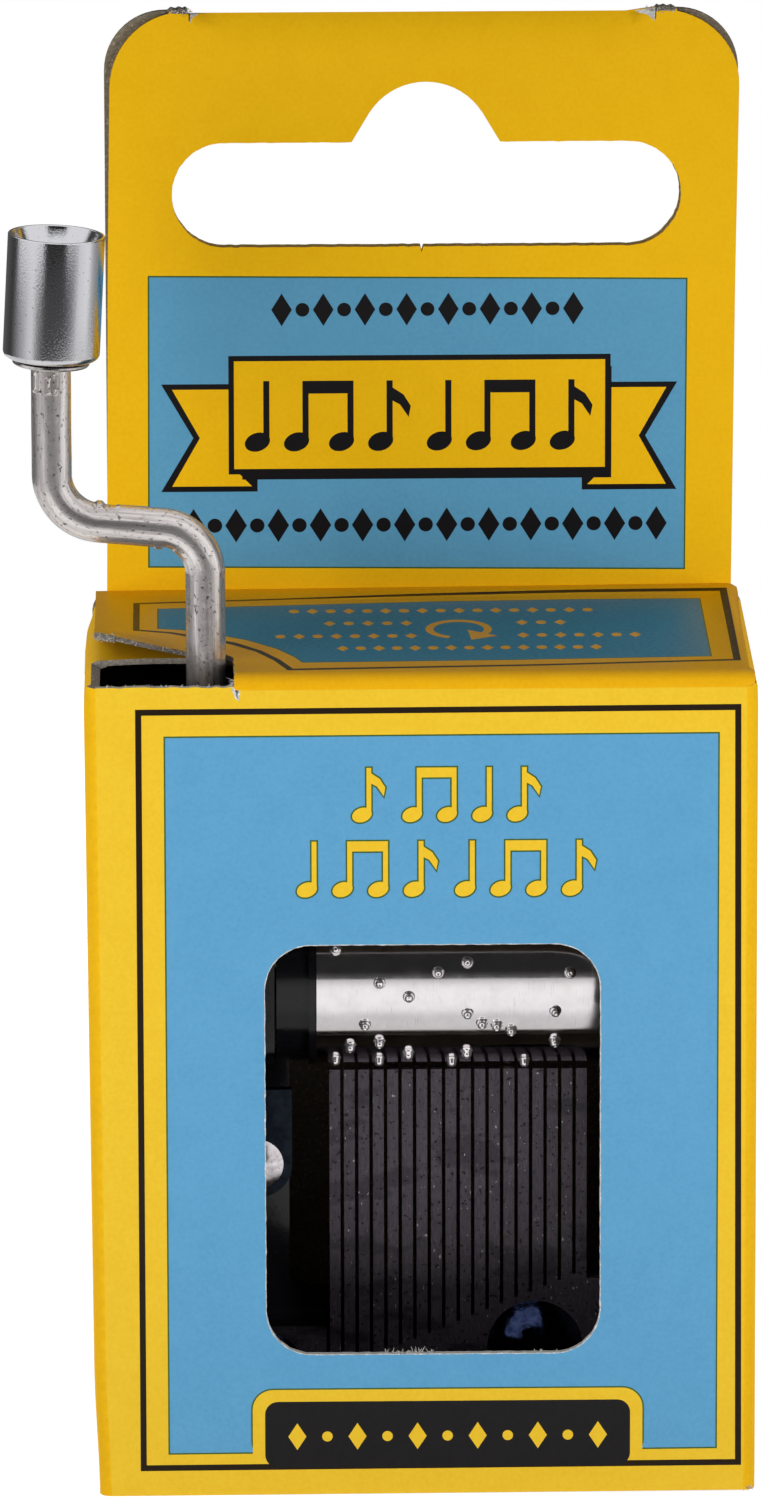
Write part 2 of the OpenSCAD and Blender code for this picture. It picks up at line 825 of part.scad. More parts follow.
module bracket_rivets() {
  dome_r = (pow(rivet_head_r, 2) + pow(rivet_head_h, 2)) / (2 * rivet_head_h);
  color("#d5d2cc")
    for (z = [rivet_z, rivet_z2])
      translate([rivet_x, lug_front_y, z])
        rotate([90, 0, 0]) {
          intersection() {
            translate([0, 0, rivet_head_h - dome_r])
              sphere(dome_r);
            cylinder(r = rivet_head_r, h = rivet_head_h);
          }
          translate([0, 0, -bracket_t - rivet_grip])
            cylinder(r = rivet_r, h = bracket_t + rivet_grip + eps);
        }
}

// Flanged bush; the flange faces the worm
module shaft_bush() {
  difference() {
    union() {
      cylinder(r = bush_flange_r, h = bush_flange_t);
      translate([0, 0, -bracket_t - bush_stand])
        cylinder(r = shaft_bush_r, h = bracket_t + bush_stand + eps);
    }
    translate([0, 0, -bracket_t - over])
      cylinder(r = rod_r + running_gap, h = bracket_t + bush_flange_t + 2 * over);
  }
}

module crankshaft_bushes() {
  color("#b08d3c") {
    translate([crank_x, crank_y, lower_arm_z])
      shaft_bush();
    translate([crank_x, crank_y, upper_arm_z])
      mirror([0, 0, 1]) shaft_bush();
  }
}

module arbor_bushes() {
  color("#b08d3c")
    translate([0, axis_y, cylinder_z])
      for (x = [left_ear_x0, right_ear_x0])
        difference() {
          bar_x(x, x + ear_t, arbor_bush_r);
          bar_x(x - over, x + ear_t + over, arbor_r + running_gap);
        }
}

// ---- movement: the cylinder and its wheel ----

// A pin over one tooth, turned back from the front by beats
module music_pin(tooth, beats) {
  translate([comb_x0 + (tooth - 1) * tooth_pitch + (tooth_pitch - saw_cut) / 2, 0, 0])
    rotate([90 - beats * beat, 0, 0])
      translate([0, 0, cylinder_r - cylinder_wall / 2])
        cylinder(r = pin_r, h = pin_h + cylinder_wall / 2, $fn = 8);
}

module pinned_cylinder() {
  color("#c9c9cb")
    translate([0, axis_y, cylinder_z]) {
      difference() {
        bar_x(cylinder_x0, cylinder_x1, cylinder_r);
        bar_x(cylinder_x0 - over, cylinder_x1 + over, cylinder_r - cylinder_wall);
      }
      for (note = front_notes)
        music_pin(min(note[0], teeth), note[1]);
      for (i = [0 : len(back_beats) - 1])
        music_pin(1 + (i * 7) % teeth, back_beats[i]);
    }
}

module cylinder_hub() {
  color("#141416")
    translate([0, axis_y, cylinder_z])
      difference() {
        union() {
          bar_x(hub_x0, cylinder_x0, hub_r);
          bar_x(cylinder_x0 - hub_flange_t, cylinder_x0, hub_flange_r);
          bar_x(cylinder_x0 - eps, cylinder_x0 + plug_len, cylinder_r - cylinder_wall);
        }
        bar_x(hub_x0 - over, cylinder_x0 + plug_len + over, arbor_r);
      }
}

module cylinder_end_cap() {
  color("#141416")
    translate([0, axis_y, cylinder_z])
      difference() {
        union() {
          bar_x(cylinder_x1 - plug_len, cylinder_x1 + eps, cylinder_r - cylinder_wall);
          bar_x(cylinder_x1, cylinder_x1 + cap_t, hub_r);
          bar_x(cylinder_x1 + cap_t - eps, cylinder_x1 + cap_t + cap_boss_len, cap_boss_r);
        }
        bar_x(cylinder_x1 - plug_len - over, right_ear_x1, arbor_r);
      }
}

module cylinder_arbor() {
  color("#a9a9ad")
    translate([0, axis_y, cylinder_z])
      bar_x(arbor_x0, arbor_x1, arbor_r);
}

// Wheel tooth i as points round its root, flanks and tip
function wheel_tooth(i) =
  let (
    step = 360 / wheel_teeth,
    to_deg = 180 / PI,
    half = (worm_lead / 4 - flank_gap),
    flank = gear_module * tan(pressure_angle),
    root_half = (half + dedendum * flank) / wheel_root_r * to_deg,
    pitch_half = half / wheel_pitch_r * to_deg,
    tip_half = (half - flank * tip_relief) / wheel_tip_r * to_deg,
    at = 180 + i * step
  ) [
    [wheel_root_r * cos(at - root_half), wheel_root_r * sin(at - root_half)],
    [wheel_pitch_r * cos(at - pitch_half), wheel_pitch_r * sin(at - pitch_half)],
    [wheel_tip_r * cos(at - tip_half), wheel_tip_r * sin(at - tip_half)],
    [wheel_tip_r * cos(at + tip_half), wheel_tip_r * sin(at + tip_half)],
    [wheel_pitch_r * cos(at + pitch_half), wheel_pitch_r * sin(at + pitch_half)],
    [wheel_root_r * cos(at + root_half), wheel_root_r * sin(at + root_half)]
  ];

module worm_wheel() {
  color("#17171a")
    translate([0, axis_y, cylinder_z])
      difference() {
        union() {
          translate([crank_x, 0, 0])
            rotate([0, 90, 0])
              rotate([0, 0, 90 - wheel_slant / 2])
                linear_extrude(wheel_w, center = true, twist = -wheel_slant, slices = 2)
                  polygon([for (i = [0 : wheel_teeth - 1]) each wheel_tooth(i)]);
          bar_x(wheel_x1 - eps, left_ear_x0 - end_gap, wheel_boss_r);
        }
        bar_x(arbor_x0 - over, left_ear_x1, arbor_r);
        difference() {
          bar_x(wheel_x0 - over, wheel_x0 + wheel_w / 4, wheel_root_r - wheel_rim);
          bar_x(wheel_x0 - 2 * over, wheel_x0 + wheel_w, clip_r + dish_margin);
        }
      }
}

module arbor_clip() {
  color("#b9b9bd")
    translate([0, axis_y, cylinder_z])
      difference() {
        bar_x(wheel_x0 - clip_t, wheel_x0, clip_r);
        bar_x(wheel_x0 - clip_t - over, wheel_x0 + over, arbor_r);
        translate([wheel_x0 - clip_t - over, -clip_mouth / 2, 0])
          cube([clip_t + 2 * over, clip_mouth, clip_r + over]);
      }
}

// ---- crank and knob ----

// Quarter-like bend that starts upright at the origin and leans to the left
module rod_bend(radius) {
  translate([-radius, 0, 0])
    rotate([90, 0, 0])
      rotate_extrude(angle = bend_turn)
        translate([radius, 0]) circle(rod_r);
}

// Moves its children to the far end of a bend
module after_bend(radius) {
  translate([-radius * (1 - cos(bend_turn)), 0, radius * sin(bend_turn)])
    rotate([0, -bend_turn, 0])
      children();
}

module knob_place() {
  translate([stem_x, crank_y, stem_z1])
    rotate([0, knob_lean, 0])
      children();
}

module crank_rod() {
  color("#a7a6a4") {
    translate([crank_x, crank_y, shaft_foot_z])
      cylinder(r = rod_r, h = shaft_top_z - shaft_foot_z);
    translate([crank_x, crank_y, shaft_top_z]) {
      rod_bend(lower_bend_r);
      after_bend(lower_bend_r) {
        translate([0, 0, -bend_lap])
          cylinder(r = rod_r - bend_step, h = arm_len + 2 * bend_lap);
        translate([0, 0, arm_len])
          mirror([1, 0, 0]) rod_bend(upper_bend_r);
      }
    }
    translate([stem_x, crank_y, stem_z0 - bend_lap])
      cylinder(r = rod_r - bend_step, h = stem_end_z - stem_z0 + bend_lap);
    knob_place() {
      translate([0, 0, -spigot_root])
        cylinder(r = spigot_r, h = spigot_len + spigot_root);
      translate([0, 0, spigot_len])
        cylinder(r1 = rivet_top_r, r2 = rivet_top_r - 0.3, h = rivet_top_h);
    }
  }
}

// Cross-section of the single-start worm, as [angle, radius] round crest, flank, root and flank
function worm_section() =
  let (
    crest = 360 * (worm_lead / 4 - flank_gap - gear_module * tan(pressure_angle)) / worm_lead,
    root = 360 * (worm_lead / 4 - flank_gap + worm_dedendum * gear_module * tan(pressure_angle)) / worm_lead,
    fall = (worm_root_r - worm_tip_r) / 4
  ) [
    for (k = [-2 : 2]) [crest * k / 2, worm_tip_r],
    for (k = [1 : 3]) [crest + (root - crest) * k / 4, worm_tip_r + fall * k],
    for (k = [0 : 4]) [root + (180 - root) * k / 2, worm_root_r],
    for (k = [3 : -1 : 1]) [360 - crest - (root - crest) * k / 4, worm_tip_r + fall * k]
  ];

module worm() {
  crest_start = 270 - 360 * worm_turns / 2;
  sleeve_low = lower_arm_z + bush_flange_t + end_gap;
  sleeve_high = upper_arm_z - bush_flange_t - end_gap;
  color("#8f8d88")
    translate([crank_x, crank_y, 0])
      difference() {
        union() {
          translate([0, 0, cylinder_z - worm_len / 2])
            rotate([0, 0, crest_start])
              linear_extrude(worm_len, twist = -360 * worm_turns, slices = round(16 * worm_turns), $fn = 16)
                polygon([for (p = worm_section()) [p[1] * cos(p[0]), p[1] * sin(p[0])]]);
          translate([0, 0, sleeve_low])
            cylinder(r = worm_root_r - sleeve_relief, h = sleeve_high - sleeve_low);
          for (z = [sleeve_low, sleeve_high - collar_len])
            translate([0, 0, z])
              cylinder(r = worm_pitch_r, h = collar_len);
        }
        translate([0, 0, sleeve_low - over])
          cylinder(r = rod_r, h = sleeve_high - sleeve_low + 2 * over);
      }
}

module knob_washer() {
  color("#c4c4c6")
    knob_place()
      difference() {
        cylinder(r = washer_r, h = washer_t);
        translate([0, 0, -over])
          cylinder(r = spigot_r, h = washer_t + 2 * over);
      }
}

module knob() {
  bore_r = spigot_r + running_gap;
  floor_at = knob_len - cup_depth;
  well_r = rivet_top_r + 0.3;
  dish_depth = 1.3;
  foot_chamfer = 0.5;
  lip_chamfer = 0.15;
  color("#d4d5d7")
    knob_place()
      translate([0, 0, washer_t + end_gap])
        rotate_extrude()
          polygon([
            [bore_r, 0],
            [knob_r - foot_chamfer, 0],
            [knob_r, foot_chamfer],
            [knob_r, knob_len - lip_chamfer],
            [knob_r - lip_chamfer, knob_len],
            [knob_r - knob_wall, knob_len],
            [well_r, knob_len - dish_depth],
            [well_r, floor_at],
            [bore_r, floor_at]
          ]);
}

front_panel();
left_side_panel();
right_side_panel();
back_panel();
top_panel();
hang_tab_front_ply();
hang_tab_back_ply();
left_glue_flap();
right_glue_flap();
left_top_dust_flap();
right_top_dust_flap();
left_bottom_dust_flap();
right_bottom_dust_flap();
bottom_flap();
tuck_tongue();
movement_frame();
comb();
bass_weights();
comb_screws();
crank_bracket();
bracket_rivets();
crankshaft_bushes();
arbor_bushes();
pinned_cylinder();
cylinder_hub();
cylinder_end_cap();
cylinder_arbor();
worm_wheel();
arbor_clip();
crank_rod();
worm();
knob_washer();
knob();
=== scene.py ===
import math

import bmesh
import bpy
from mathutils import Matrix, Vector, geometry, noise


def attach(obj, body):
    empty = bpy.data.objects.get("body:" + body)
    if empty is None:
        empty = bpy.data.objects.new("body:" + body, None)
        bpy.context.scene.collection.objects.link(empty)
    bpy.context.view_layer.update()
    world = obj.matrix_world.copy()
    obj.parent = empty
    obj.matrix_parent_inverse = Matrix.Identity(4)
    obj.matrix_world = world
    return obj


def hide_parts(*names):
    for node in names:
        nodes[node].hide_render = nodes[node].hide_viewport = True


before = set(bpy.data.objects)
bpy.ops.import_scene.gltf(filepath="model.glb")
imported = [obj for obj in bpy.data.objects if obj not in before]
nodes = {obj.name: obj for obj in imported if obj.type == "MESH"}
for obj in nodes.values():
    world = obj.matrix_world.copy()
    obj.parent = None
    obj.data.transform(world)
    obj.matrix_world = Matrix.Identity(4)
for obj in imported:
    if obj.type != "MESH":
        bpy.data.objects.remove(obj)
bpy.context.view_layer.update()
mm = 0.001
print("frame loaded:", len(nodes), "nodes")


# small helpers

def hexColour(text):  # sRGB hex to linear
    values = [int(text[i:i + 2], 16) / 255 for i in (1, 3, 5)]
    linear = [v / 12.92 if v <= 0.04045 else ((v + 0.055) / 1.055) ** 2.4 for v in values]
    return (*linear, 1.0)


def clamp(value, low=0.0, high=1.0):
    return max(low, min(high, value))


def ease(value):  # 0 to 1 with a soft start and end
    value = clamp(value)
    return value * value * (3 - 2 * value)


def addNode(tree, kind, settings=None, inputs=None):  # settings are attributes, inputs are values or sockets
    node = tree.nodes.new(kind)
    for key, value in (settings or {}).items():
        setattr(node, key, value)
    for key, value in (inputs or {}).items():
        if isinstance(value, bpy.types.NodeSocket):
            tree.links.new(value, node.inputs[key])
        else:
            node.inputs[key].default_value = value
    return node


def startMaterial(name, **shaderValues):  # returns the material, its tree, its shader and coordinates in mm
    material = bpy.data.materials.new(name)
    material.use_nodes = True
    tree = material.node_tree
    shader = tree.nodes["Principled BSDF"]
    for key, value in shaderValues.items():
        shader.inputs[key.replace("_", " ")].default_value = value
    place = addNode(tree, "ShaderNodeTexCoord")
    inMm = addNode(tree, "ShaderNodeVectorMath", {"operation": "SCALE"},
                   {0: place.outputs["Object"], "Scale": 1000.0})
    return material, tree, shader, inMm.outputs[0]


def speckle(tree, coords, perMm, detail=2.0, rough=0.5):  # noise whose grains are 1/perMm mm wide
    return addNode(tree, "ShaderNodeTexNoise", None,
                   {"Vector": coords, "Scale": perMm, "Detail": detail, "Roughness": rough}).outputs["Fac"]


def stretched(tree, coords, scale):  # coordinates squeezed to draw a pattern out along an axis
    return addNode(tree, "ShaderNodeVectorMath", {"operation": "MULTIPLY"}, {0: coords, 1: scale}).outputs[0]


def remap(tree, value, low, high, toLow=0.0, toHigh=1.0, smooth=False):
    return addNode(tree, "ShaderNodeMapRange", {"interpolation_type": "SMOOTHSTEP" if smooth else "LINEAR"},
                   {"Value": value, "From Min": low, "From Max": high,
                    "To Min": toLow, "To Max": toHigh}).outputs["Result"]


def maths(tree, operation, a, b=0.0):
    return addNode(tree, "ShaderNodeMath", {"operation": operation}, {0: a, 1: b}).outputs[0]


def blendColour(tree, factor, a, b):
    return addNode(tree, "ShaderNodeMix", {"data_type": "RGBA"}, {0: factor, 6: a, 7: b}).outputs[2]


def surface(tree, shader, colour, rough, height, strength, depthMm):  # links colour, roughness and a bump
    bump = addNode(tree, "ShaderNodeBump", None,
                   {"Height": height, "Strength": strength, "Distance": depthMm * mm})
    for key, socket in (("Base Color", colour), ("Roughness", rough), ("Normal", bump.outputs["Normal"])):
        if socket is not None:
            tree.links.new(socket, shader.inputs[key])


# materials of the carton

# coated paperboard, offset printed: a flat, slightly silky ink film over fine paper grain
inks = {
    "yellow": {"hex": "#f2c831", "dark": "#edbf29", "rough": 0.46, "spec": 0.3},
    "amber": {"hex": "#f5bf16", "dark": "#efb611", "rough": 0.46, "spec": 0.15},     # yellow of tab and sides: a more orange, less glossy copy of the yellow, painted shade
    "ochre": {"hex": "#f6b912", "dark": "#f0b00e", "rough": 0.46, "spec": 0.25},     # yellow of the top: a more orange copy of the yellow, painted shade
    "blue": {"hex": "#62a5cf", "dark": "#5a9dc7", "rough": 0.46, "spec": 0.3},
    "teal": {"hex": "#60a0c3", "dark": "#5898bb", "rough": 0.46, "spec": 0.3},       # blue of the tab's label
    "deep": {"hex": "#2b88ae", "dark": "#2580a6", "rough": 0.46, "spec": 0.25},      # blue of the top: a darker copy of the blue, painted shade
    "black": {"hex": "#151315", "dark": "#110f11", "rough": 0.42, "spec": 0.25},
    "line": {"hex": "#21160a", "dark": "#1b1208", "rough": 0.42, "spec": 0.2},       # black over yellow
    "trap": {"hex": "#3f5f2c", "dark": "#385526", "rough": 0.46, "spec": 0.4},       # blue over yellow
}
grainMm = 0.3      # paper grain, drawn coarser than the real 0.05 mm so that it shows


def printedBoard(key):
    ink = inks[key]
    material, tree, shader, coords = startMaterial("coated_board_offset_printed_" + key,
                                                   Specular_IOR_Level=ink["spec"])
    fine = speckle(tree, coords, 1 / grainMm, 3.0, 0.6)
    cloud = speckle(tree, coords, 0.5, 2.0)      # uneven ink, 2 mm wide
    patchy = maths(tree, "ADD", remap(tree, fine, 0.35, 0.7, 0.0, 0.75),
                   remap(tree, cloud, 0.4, 0.65, 0.0, 0.25))
    shade = blendColour(tree, patchy, hexColour(ink["hex"]), hexColour(ink["dark"]))
    rough = remap(tree, fine, 0.3, 0.7, ink["rough"] - 0.06, ink["rough"] + 0.08)
    surface(tree, shader, shade, rough, fine, 0.3, 0.01)
    return material


# uncoated recycled board: grey-brown pulp with dark and pale fibres
def pulpBoard(name, hexBase, hexDark, hexPale, fluff):
    material, tree, shader, coords = startMaterial(name, Roughness=0.92, Specular_IOR_Level=0.2)
    fibres = speckle(tree, stretched(tree, coords, (1.0, 2.2, 1.4)), 3.2, 4.0, 0.7)      # 0.15 to 0.3 mm
    flecks = speckle(tree, coords, 6.5, 1.0)      # 0.15 mm
    body = blendColour(tree, remap(tree, fibres, 0.38, 0.62), hexColour(hexDark), hexColour(hexBase))
    shade = blendColour(tree, remap(tree, flecks, 0.62, 0.7), body, hexColour(hexPale))
    surface(tree, shader, shade, None, fibres, 0.8, fluff)
    return material


skins = {key: printedBoard(key) for key in inks}
skins.update({
    "inside": pulpBoard("recycled_board_uncoated", "#8f8370", "#776b59", "#b0a592", 0.03),  # bare back
    "cut": pulpBoard("recycled_board_die_cut", "#a39c92", "#827b71", "#cfcac1", 0.06),      # clean edges
    "torn": pulpBoard("recycled_board_torn_and_shaded", "#8f877c", "#5c554d", "#cfc8bd", 0.14),        # dark and fluffy: torn fibres, darkened further as painted shade
    "edge_painted_light": pulpBoard("recycled_board_cut_edge_painted_light", "#b8974f", "#8f7034", "#d9c08a", 0.05),  # cut edges painted lighter and orange-brown: painted light, so edges in shade don't show dark
    "pale": pulpBoard("board_coating_broken_white_and_edge_highlight", "#d9d9d6", "#b4b4b0", "#f2f2f0", 0.06),  # near white: broken coating, and painted highlight on the cut edges of the window and the notch
})
skinOrder = list(skins)
print("carton materials made")


# outlines for print and cut-outs, in mm

def arcTo(cx, cz, r, fromDeg, toDeg, steps=6, squash=1.0):
    angles = [math.radians(fromDeg + (toDeg - fromDeg) * i / steps) for i in range(steps + 1)]
    return [(cx + r * math.cos(a), cz + r * squash * math.sin(a)) for a in angles]


def arcBand(x, z, r, width, fromDeg, toDeg, steps, squash):
    outer, inner = (arcTo(x, z, r + way * width / 2, fromDeg, toDeg, steps, squash) for way in (1, -1))
    return outer + inner[::-1]


def roundRect(x0, z0, x1, z1, r, steps=8):
    corners = ((x1 - r, z0 + r), (x1 - r, z1 - r), (x0 + r, z1 - r), (x0 + r, z0 + r))
    outline = []
    for i, (cx, cz) in enumerate(corners):
        outline += arcTo(cx, cz, r, 90 * i - 90, 90 * i, steps)
    return outline


def rect(x0, z0, x1, z1):
    return [(x0, z0), (x1, z0), (x1, z1), (x0, z1)]


def disc(x, z, r, steps=28, flat=1.0, tilt=0.0):
    outline = []
    for i in range(steps):
        a = 2 * math.pi * i / steps
        px, pz = r * math.cos(a), r * flat * math.sin(a)
        outline.append((x + px * math.cos(tilt) - pz * math.sin(tilt),
                        z + px * math.sin(tilt) + pz * math.cos(tilt)))
    return outline


def diamond(x, z, w, h):
    return [(x - w, z), (x, z - h), (x + w, z), (x, z + h)]


def mirrored(outline):
    return [(-u, v) for u, v in outline][::-1]


def signedArea(outline):
    return sum(a[0] * b[1] - b[0] * a[1] for a, b in zip(outline, outline[1:] + outline[:1])) / 2


def subdivide(outline, step):  # extra points on long edges, so that a sheet can bend there
    points = []
    for (ax, az), (bx, bz) in zip(outline, outline[1:] + outline[:1]):
        count = max(1, math.ceil(math.hypot(bx - ax, bz - az) / step))
        points += [(ax + (bx - ax) * i / count, az + (bz - az) * i / count) for i in range(count)]
    return points


def grow(outline, by):  # the outline moved outwards, with mitred corners
    if signedArea(outline) < 0:
        outline = outline[::-1]
    grown = []
    for before, at, after in zip(outline[-1:] + outline[:-1], outline, outline[1:] + outline[:1]):
        a = (Vector(at) - Vector(before)).normalized()
        b = (Vector(after) - Vector(at)).normalized()
        out = Vector((a.y + b.y, -a.x - b.x))
        grown.append(tuple(Vector(at) + out * (2 * by / max(0.8, out.length_squared))))
    return grown


def ragged(outline, step, size, seed):  # a cut that isn't quite clean
    rough = []
    for x, z in subdivide(outline, step):
        rough.append((x + size * noise.noise(Vector((x * 2.7, z * 2.7, seed))),
                      z + size * noise.noise(Vector((z * 2.7, x * 2.7, seed + 9.5)))))
    return rough


note = {      # a printed note, in shares of its height
    "head": 0.36, "flat": 0.72, "stem": 0.085, "top": 0.86, "gap": 0.62, "beam": 0.68,
    "tilt": 0.35,       # of its head, in radians
    "wide": {"quarter": 0.36, "eighth": 0.63, "pair": 0.98},
    "flag": [(-0.085, 0.86), (-0.085, 0.62), (0.1, 0.52), (0.22, 0.34), (0.25, 0.5), (0.15, 0.66),
             (0.0, 0.76), (0.0, 0.86)],
}


def musicNote(x, z, h, kind):  # outlines of a plain note whose left edge is at x and whose head stands on z
    w, stem, gap = h * note["head"], h * note["stem"], h * note["gap"]
    x, z = x + w / 2, z + w * note["flat"] / 2
    right, high = x + w / 2 * 0.93, z + h * note["top"]
    parts = []
    shifts = (0, gap) if kind == "pair" else (0,)
    for shift in shifts:
        parts.append(disc(x + shift, z, w / 2, 24, note["flat"], note["tilt"]))
        parts.append(rect(right + shift - stem, z + 0.02 * h, right + shift, high))
    if kind == "eighth":
        parts.append([(right + h * u, z + h * v) for u, v in note["flag"]])
    if kind == "pair":
        parts.append(rect(right - stem, z + h * note["beam"], right + gap, high))
    return parts


def noteRow(skin, kinds, xMiddle, z, h, gap, trapBy=0.0):  # plain notes in a row, none touching the next
    widths = [h * note["wide"][kind] for kind in kinds]
    x = xMiddle - (sum(widths) + gap * (len(kinds) - 1)) / 2
    under, over = [], []
    for kind, width in zip(kinds, widths):
        for part in musicNote(x, z, h, kind):
            over.append((skin, part))
            if trapBy:
                under.append(("trap", grow(part, trapBy)))
        x += width + gap
    return under + over


shortTune = ("eighth", "pair", "quarter", "eighth")
tune = ("quarter", "pair", "eighth", "quarter", "pair", "eighth")


def dotRow(skin, z, xFrom, xTo, count, size):  # diamonds and dots by turns
    row = []
    for i in range(count):
        x = xFrom + (xTo - xFrom) * i / (count - 1)
        row.append((skin, diamond(x, z, size * 0.62, size) if i % 2 == 0 else disc(x, z, size * 0.42, 18)))
    return row


trapW = 0.11      # the thin green line where a blue area overlaps the yellow


def trapped(outline, skin="blue"):
    return [("trap", outline), (skin, grow(outline, -trapW))]


# one sheet of board with its print

carton = {"halfW": 22.5, "halfD": 13.0, "height": 57.6, "tall": 98.6, "board": 0.5}


def finishMesh(bm, name, materials):
    bmesh.ops.recalc_face_normals(bm, faces=bm.faces)
    mesh = bpy.data.meshes.new(name)
    bm.to_mesh(mesh)
    bm.free()
    for material in materials:
        mesh.materials.append(material)
    piece = bpy.data.objects.new(name, mesh)
    bpy.context.scene.collection.objects.link(piece)
    return piece


def cutSheet(name, layers, place, grid, replaced, body="carton", edgeOf=lambda a, b: "cut"):
    # layers are (skin, outline) from the bottom up, the first one the blank; a skin of None cuts a hole.
    # place(u, v, depth) gives a point of the sheet in mm; grid is the spacing of the points that let it bend.
    points, faces = [], []
    blank = layers[0][1]
    for skin, outline in layers:
        if outline is blank or skin is None:
            outline = subdivide(outline, min(grid))
        if signedArea(outline) < 0:
            outline = outline[::-1]
        start = len(points)
        points += [Vector(p) for p in outline]
        faces.append(list(range(start, len(points))))
    (u0, u1), (v0, v1) = ((min(axis), max(axis)) for axis in zip(*blank))
    offU, offV, merge = 0.013, 0.017, 1e-4       # the grid's points keep off the print's straight lines
    for i in range(1, int((u1 - u0) / grid[0]) + 1):
        for j in range(1, int((v1 - v0) / grid[1]) + 1):
            points.append(Vector((u0 + i * grid[0] + offU, v0 + j * grid[1] + offV)))
    flat, _, cells, _, _, owners = geometry.delaunay_2d_cdt(points, [], faces, 0, merge)
    kept = []
    for cell, owner in zip(cells, owners):
        skin = layers[max(owner)][0] if owner and 0 in owner else None
        if skin:
            kept.append((cell, skinOrder.index(skin)))
    bm = bmesh.new()
    near, far = {}, {}
    for cell, _ in kept:
        for i in cell:
            if i not in near:
                near[i], far[i] = (bm.verts.new(Vector(place(*flat[i], depth)) * mm)
                                   for depth in (0.0, carton["board"]))
    used = set()
    for cell, skin in kept:
        bm.faces.new([near[i] for i in cell]).material_index = skin
        bm.faces.new([far[i] for i in reversed(cell)]).material_index = skinOrder.index("inside")
        used.update(zip(cell, cell[1:] + cell[:1]))
    for a, b in used:
        if (b, a) not in used:
            face = bm.faces.new((near[b], near[a], far[a], far[b]))
            face.material_index = skinOrder.index(edgeOf(flat[a], flat[b]))
            for rim in face.edges:
                rim.smooth = False
    for face in bm.faces:
        face.smooth = True
    piece = finishMesh(bm, name, [skins[key] for key in skinOrder])
    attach(piece, body)
    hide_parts(*replaced)


# side walls, each folded over at its top into the flap under the top panel

side = {
    "foldR": 0.8, "rearY": 12.5, "z0": 0.55, "leftFootZ": 0.0, "rightFootZ": 0.12,
    "topZ": 57.05, "leftTopR": 1.2, "topEdge": 57.0, "flapReach": 11.7, "flapEndY": 11.7,
    "leftFlapY": -6.0, "rightFlapY": -11.5,
    "leanFoot": 0.06, "leanTop": 0.42,     # how far the left wall leans out at its foot, and more at its top
    "tuckIn": 0.26, "tuckZ": 9.0,          # its foot is drawn in again by this much below this height
    "pressed": 0.78,                       # share of the board's thickness left where it is folded flat
    "swell": 0.6, "swellZ": 56.3,          # share that the cut in the notch is swollen by, above this height
    "arch": 0.14,                          # how far the left flap arches up behind the notch
}
sideFold = side["foldR"] * math.pi / 2


def leftLean(z):
    return (side["leanFoot"] + side["leanTop"] * z / carton["height"]
            - side["tuckIn"] * ease(1 - z / side["tuckZ"]))


def placeSide(u, v, depth, hand):  # u runs back from the front fold's start; hand is -1 left, 1 right
    r, halfW, frontY = side["foldR"], carton["halfW"], -carton["halfD"]
    x, y, z = halfW - depth, frontY + r + u - sideFold, v
    if u < sideFold:
        x = halfW - r + (r - depth) * math.sin(u / r)
        y = frontY + r - (r - depth) * math.cos(u / r)
    topR = side["leftTopR"] if hand < 0 else r       # the left wall goes over its top fold in a wider bend
    over = v - side["topZ"] + topR
    inward = over - topR * math.pi / 2
    if over > 0:
        b = min(over / topR, math.pi / 2)
        reach = topR - depth * (side["pressed"] if inward > 0 else 1.0)
        foldedX = halfW - topR + reach * math.cos(b) - max(0.0, inward)
        foldedZ = side["topZ"] - topR + reach * math.sin(b)
        k = ease((u - 0.4) / (sideFold - 0.2))
        x, z = x + (foldedX - x) * k, z + (foldedZ - z) * k
    if hand < 0:
        if y < side["leftFlapY"]:
            x -= side["swell"] * depth * ease((v - side["swellZ"]) / 0.6)
        fade = 1 - ease((y - 4) / 9)       # the lean dies out towards the rear and across the flap
        x += leftLean(min(v, carton["height"])) * fade * clamp((x - 12) / 8)
        arch = math.sin(math.pi * clamp((21.7 - x) / 9)) * clamp(1 - (y - side["leftFlapY"]) / 5)
        z += side["arch"] * arch if inward > 0 else 0.0
    return (hand * x, y, z)


def sideU(y):
    return sideFold + y + carton["halfD"] - side["foldR"]


for hand, word, drop in ((-1, "left", 0.25), (1, "right", 0.4)):
    uFlap, uEnd, length = sideU(side[word + "FlapY"]), sideU(side["flapEndY"]), sideU(side["rearY"])
    footZ, edgeZ = side[word + "FootZ"], side["topEdge"]
    flapV = side["topZ"] + 0.5 + side["flapReach"]
    outline = [(0.0, footZ), (sideFold, footZ), (sideFold + 0.6, side["z0"]), (length, side["z0"]),
               (length, edgeZ), (uEnd, edgeZ), (uEnd - 0.8, flapV), (uFlap + 1.5, flapV),
               (uFlap, flapV - 1.5), (uFlap, edgeZ), (sideFold, edgeZ), (0.0, edgeZ - drop)]
    if hand < 0:
        outline = mirrored(outline)
    # the side walls take the shaded copy of the yellow: painted shade
    cutSheet(word + "_printed_board", [("amber", outline)],
             lambda u, v, d, hand=hand: placeSide(abs(u), v, d, hand), (0.3, 1.2),
             [word + "_side_panel", word + "_top_dust_flap"])
print("side walls made")


# front, with its window

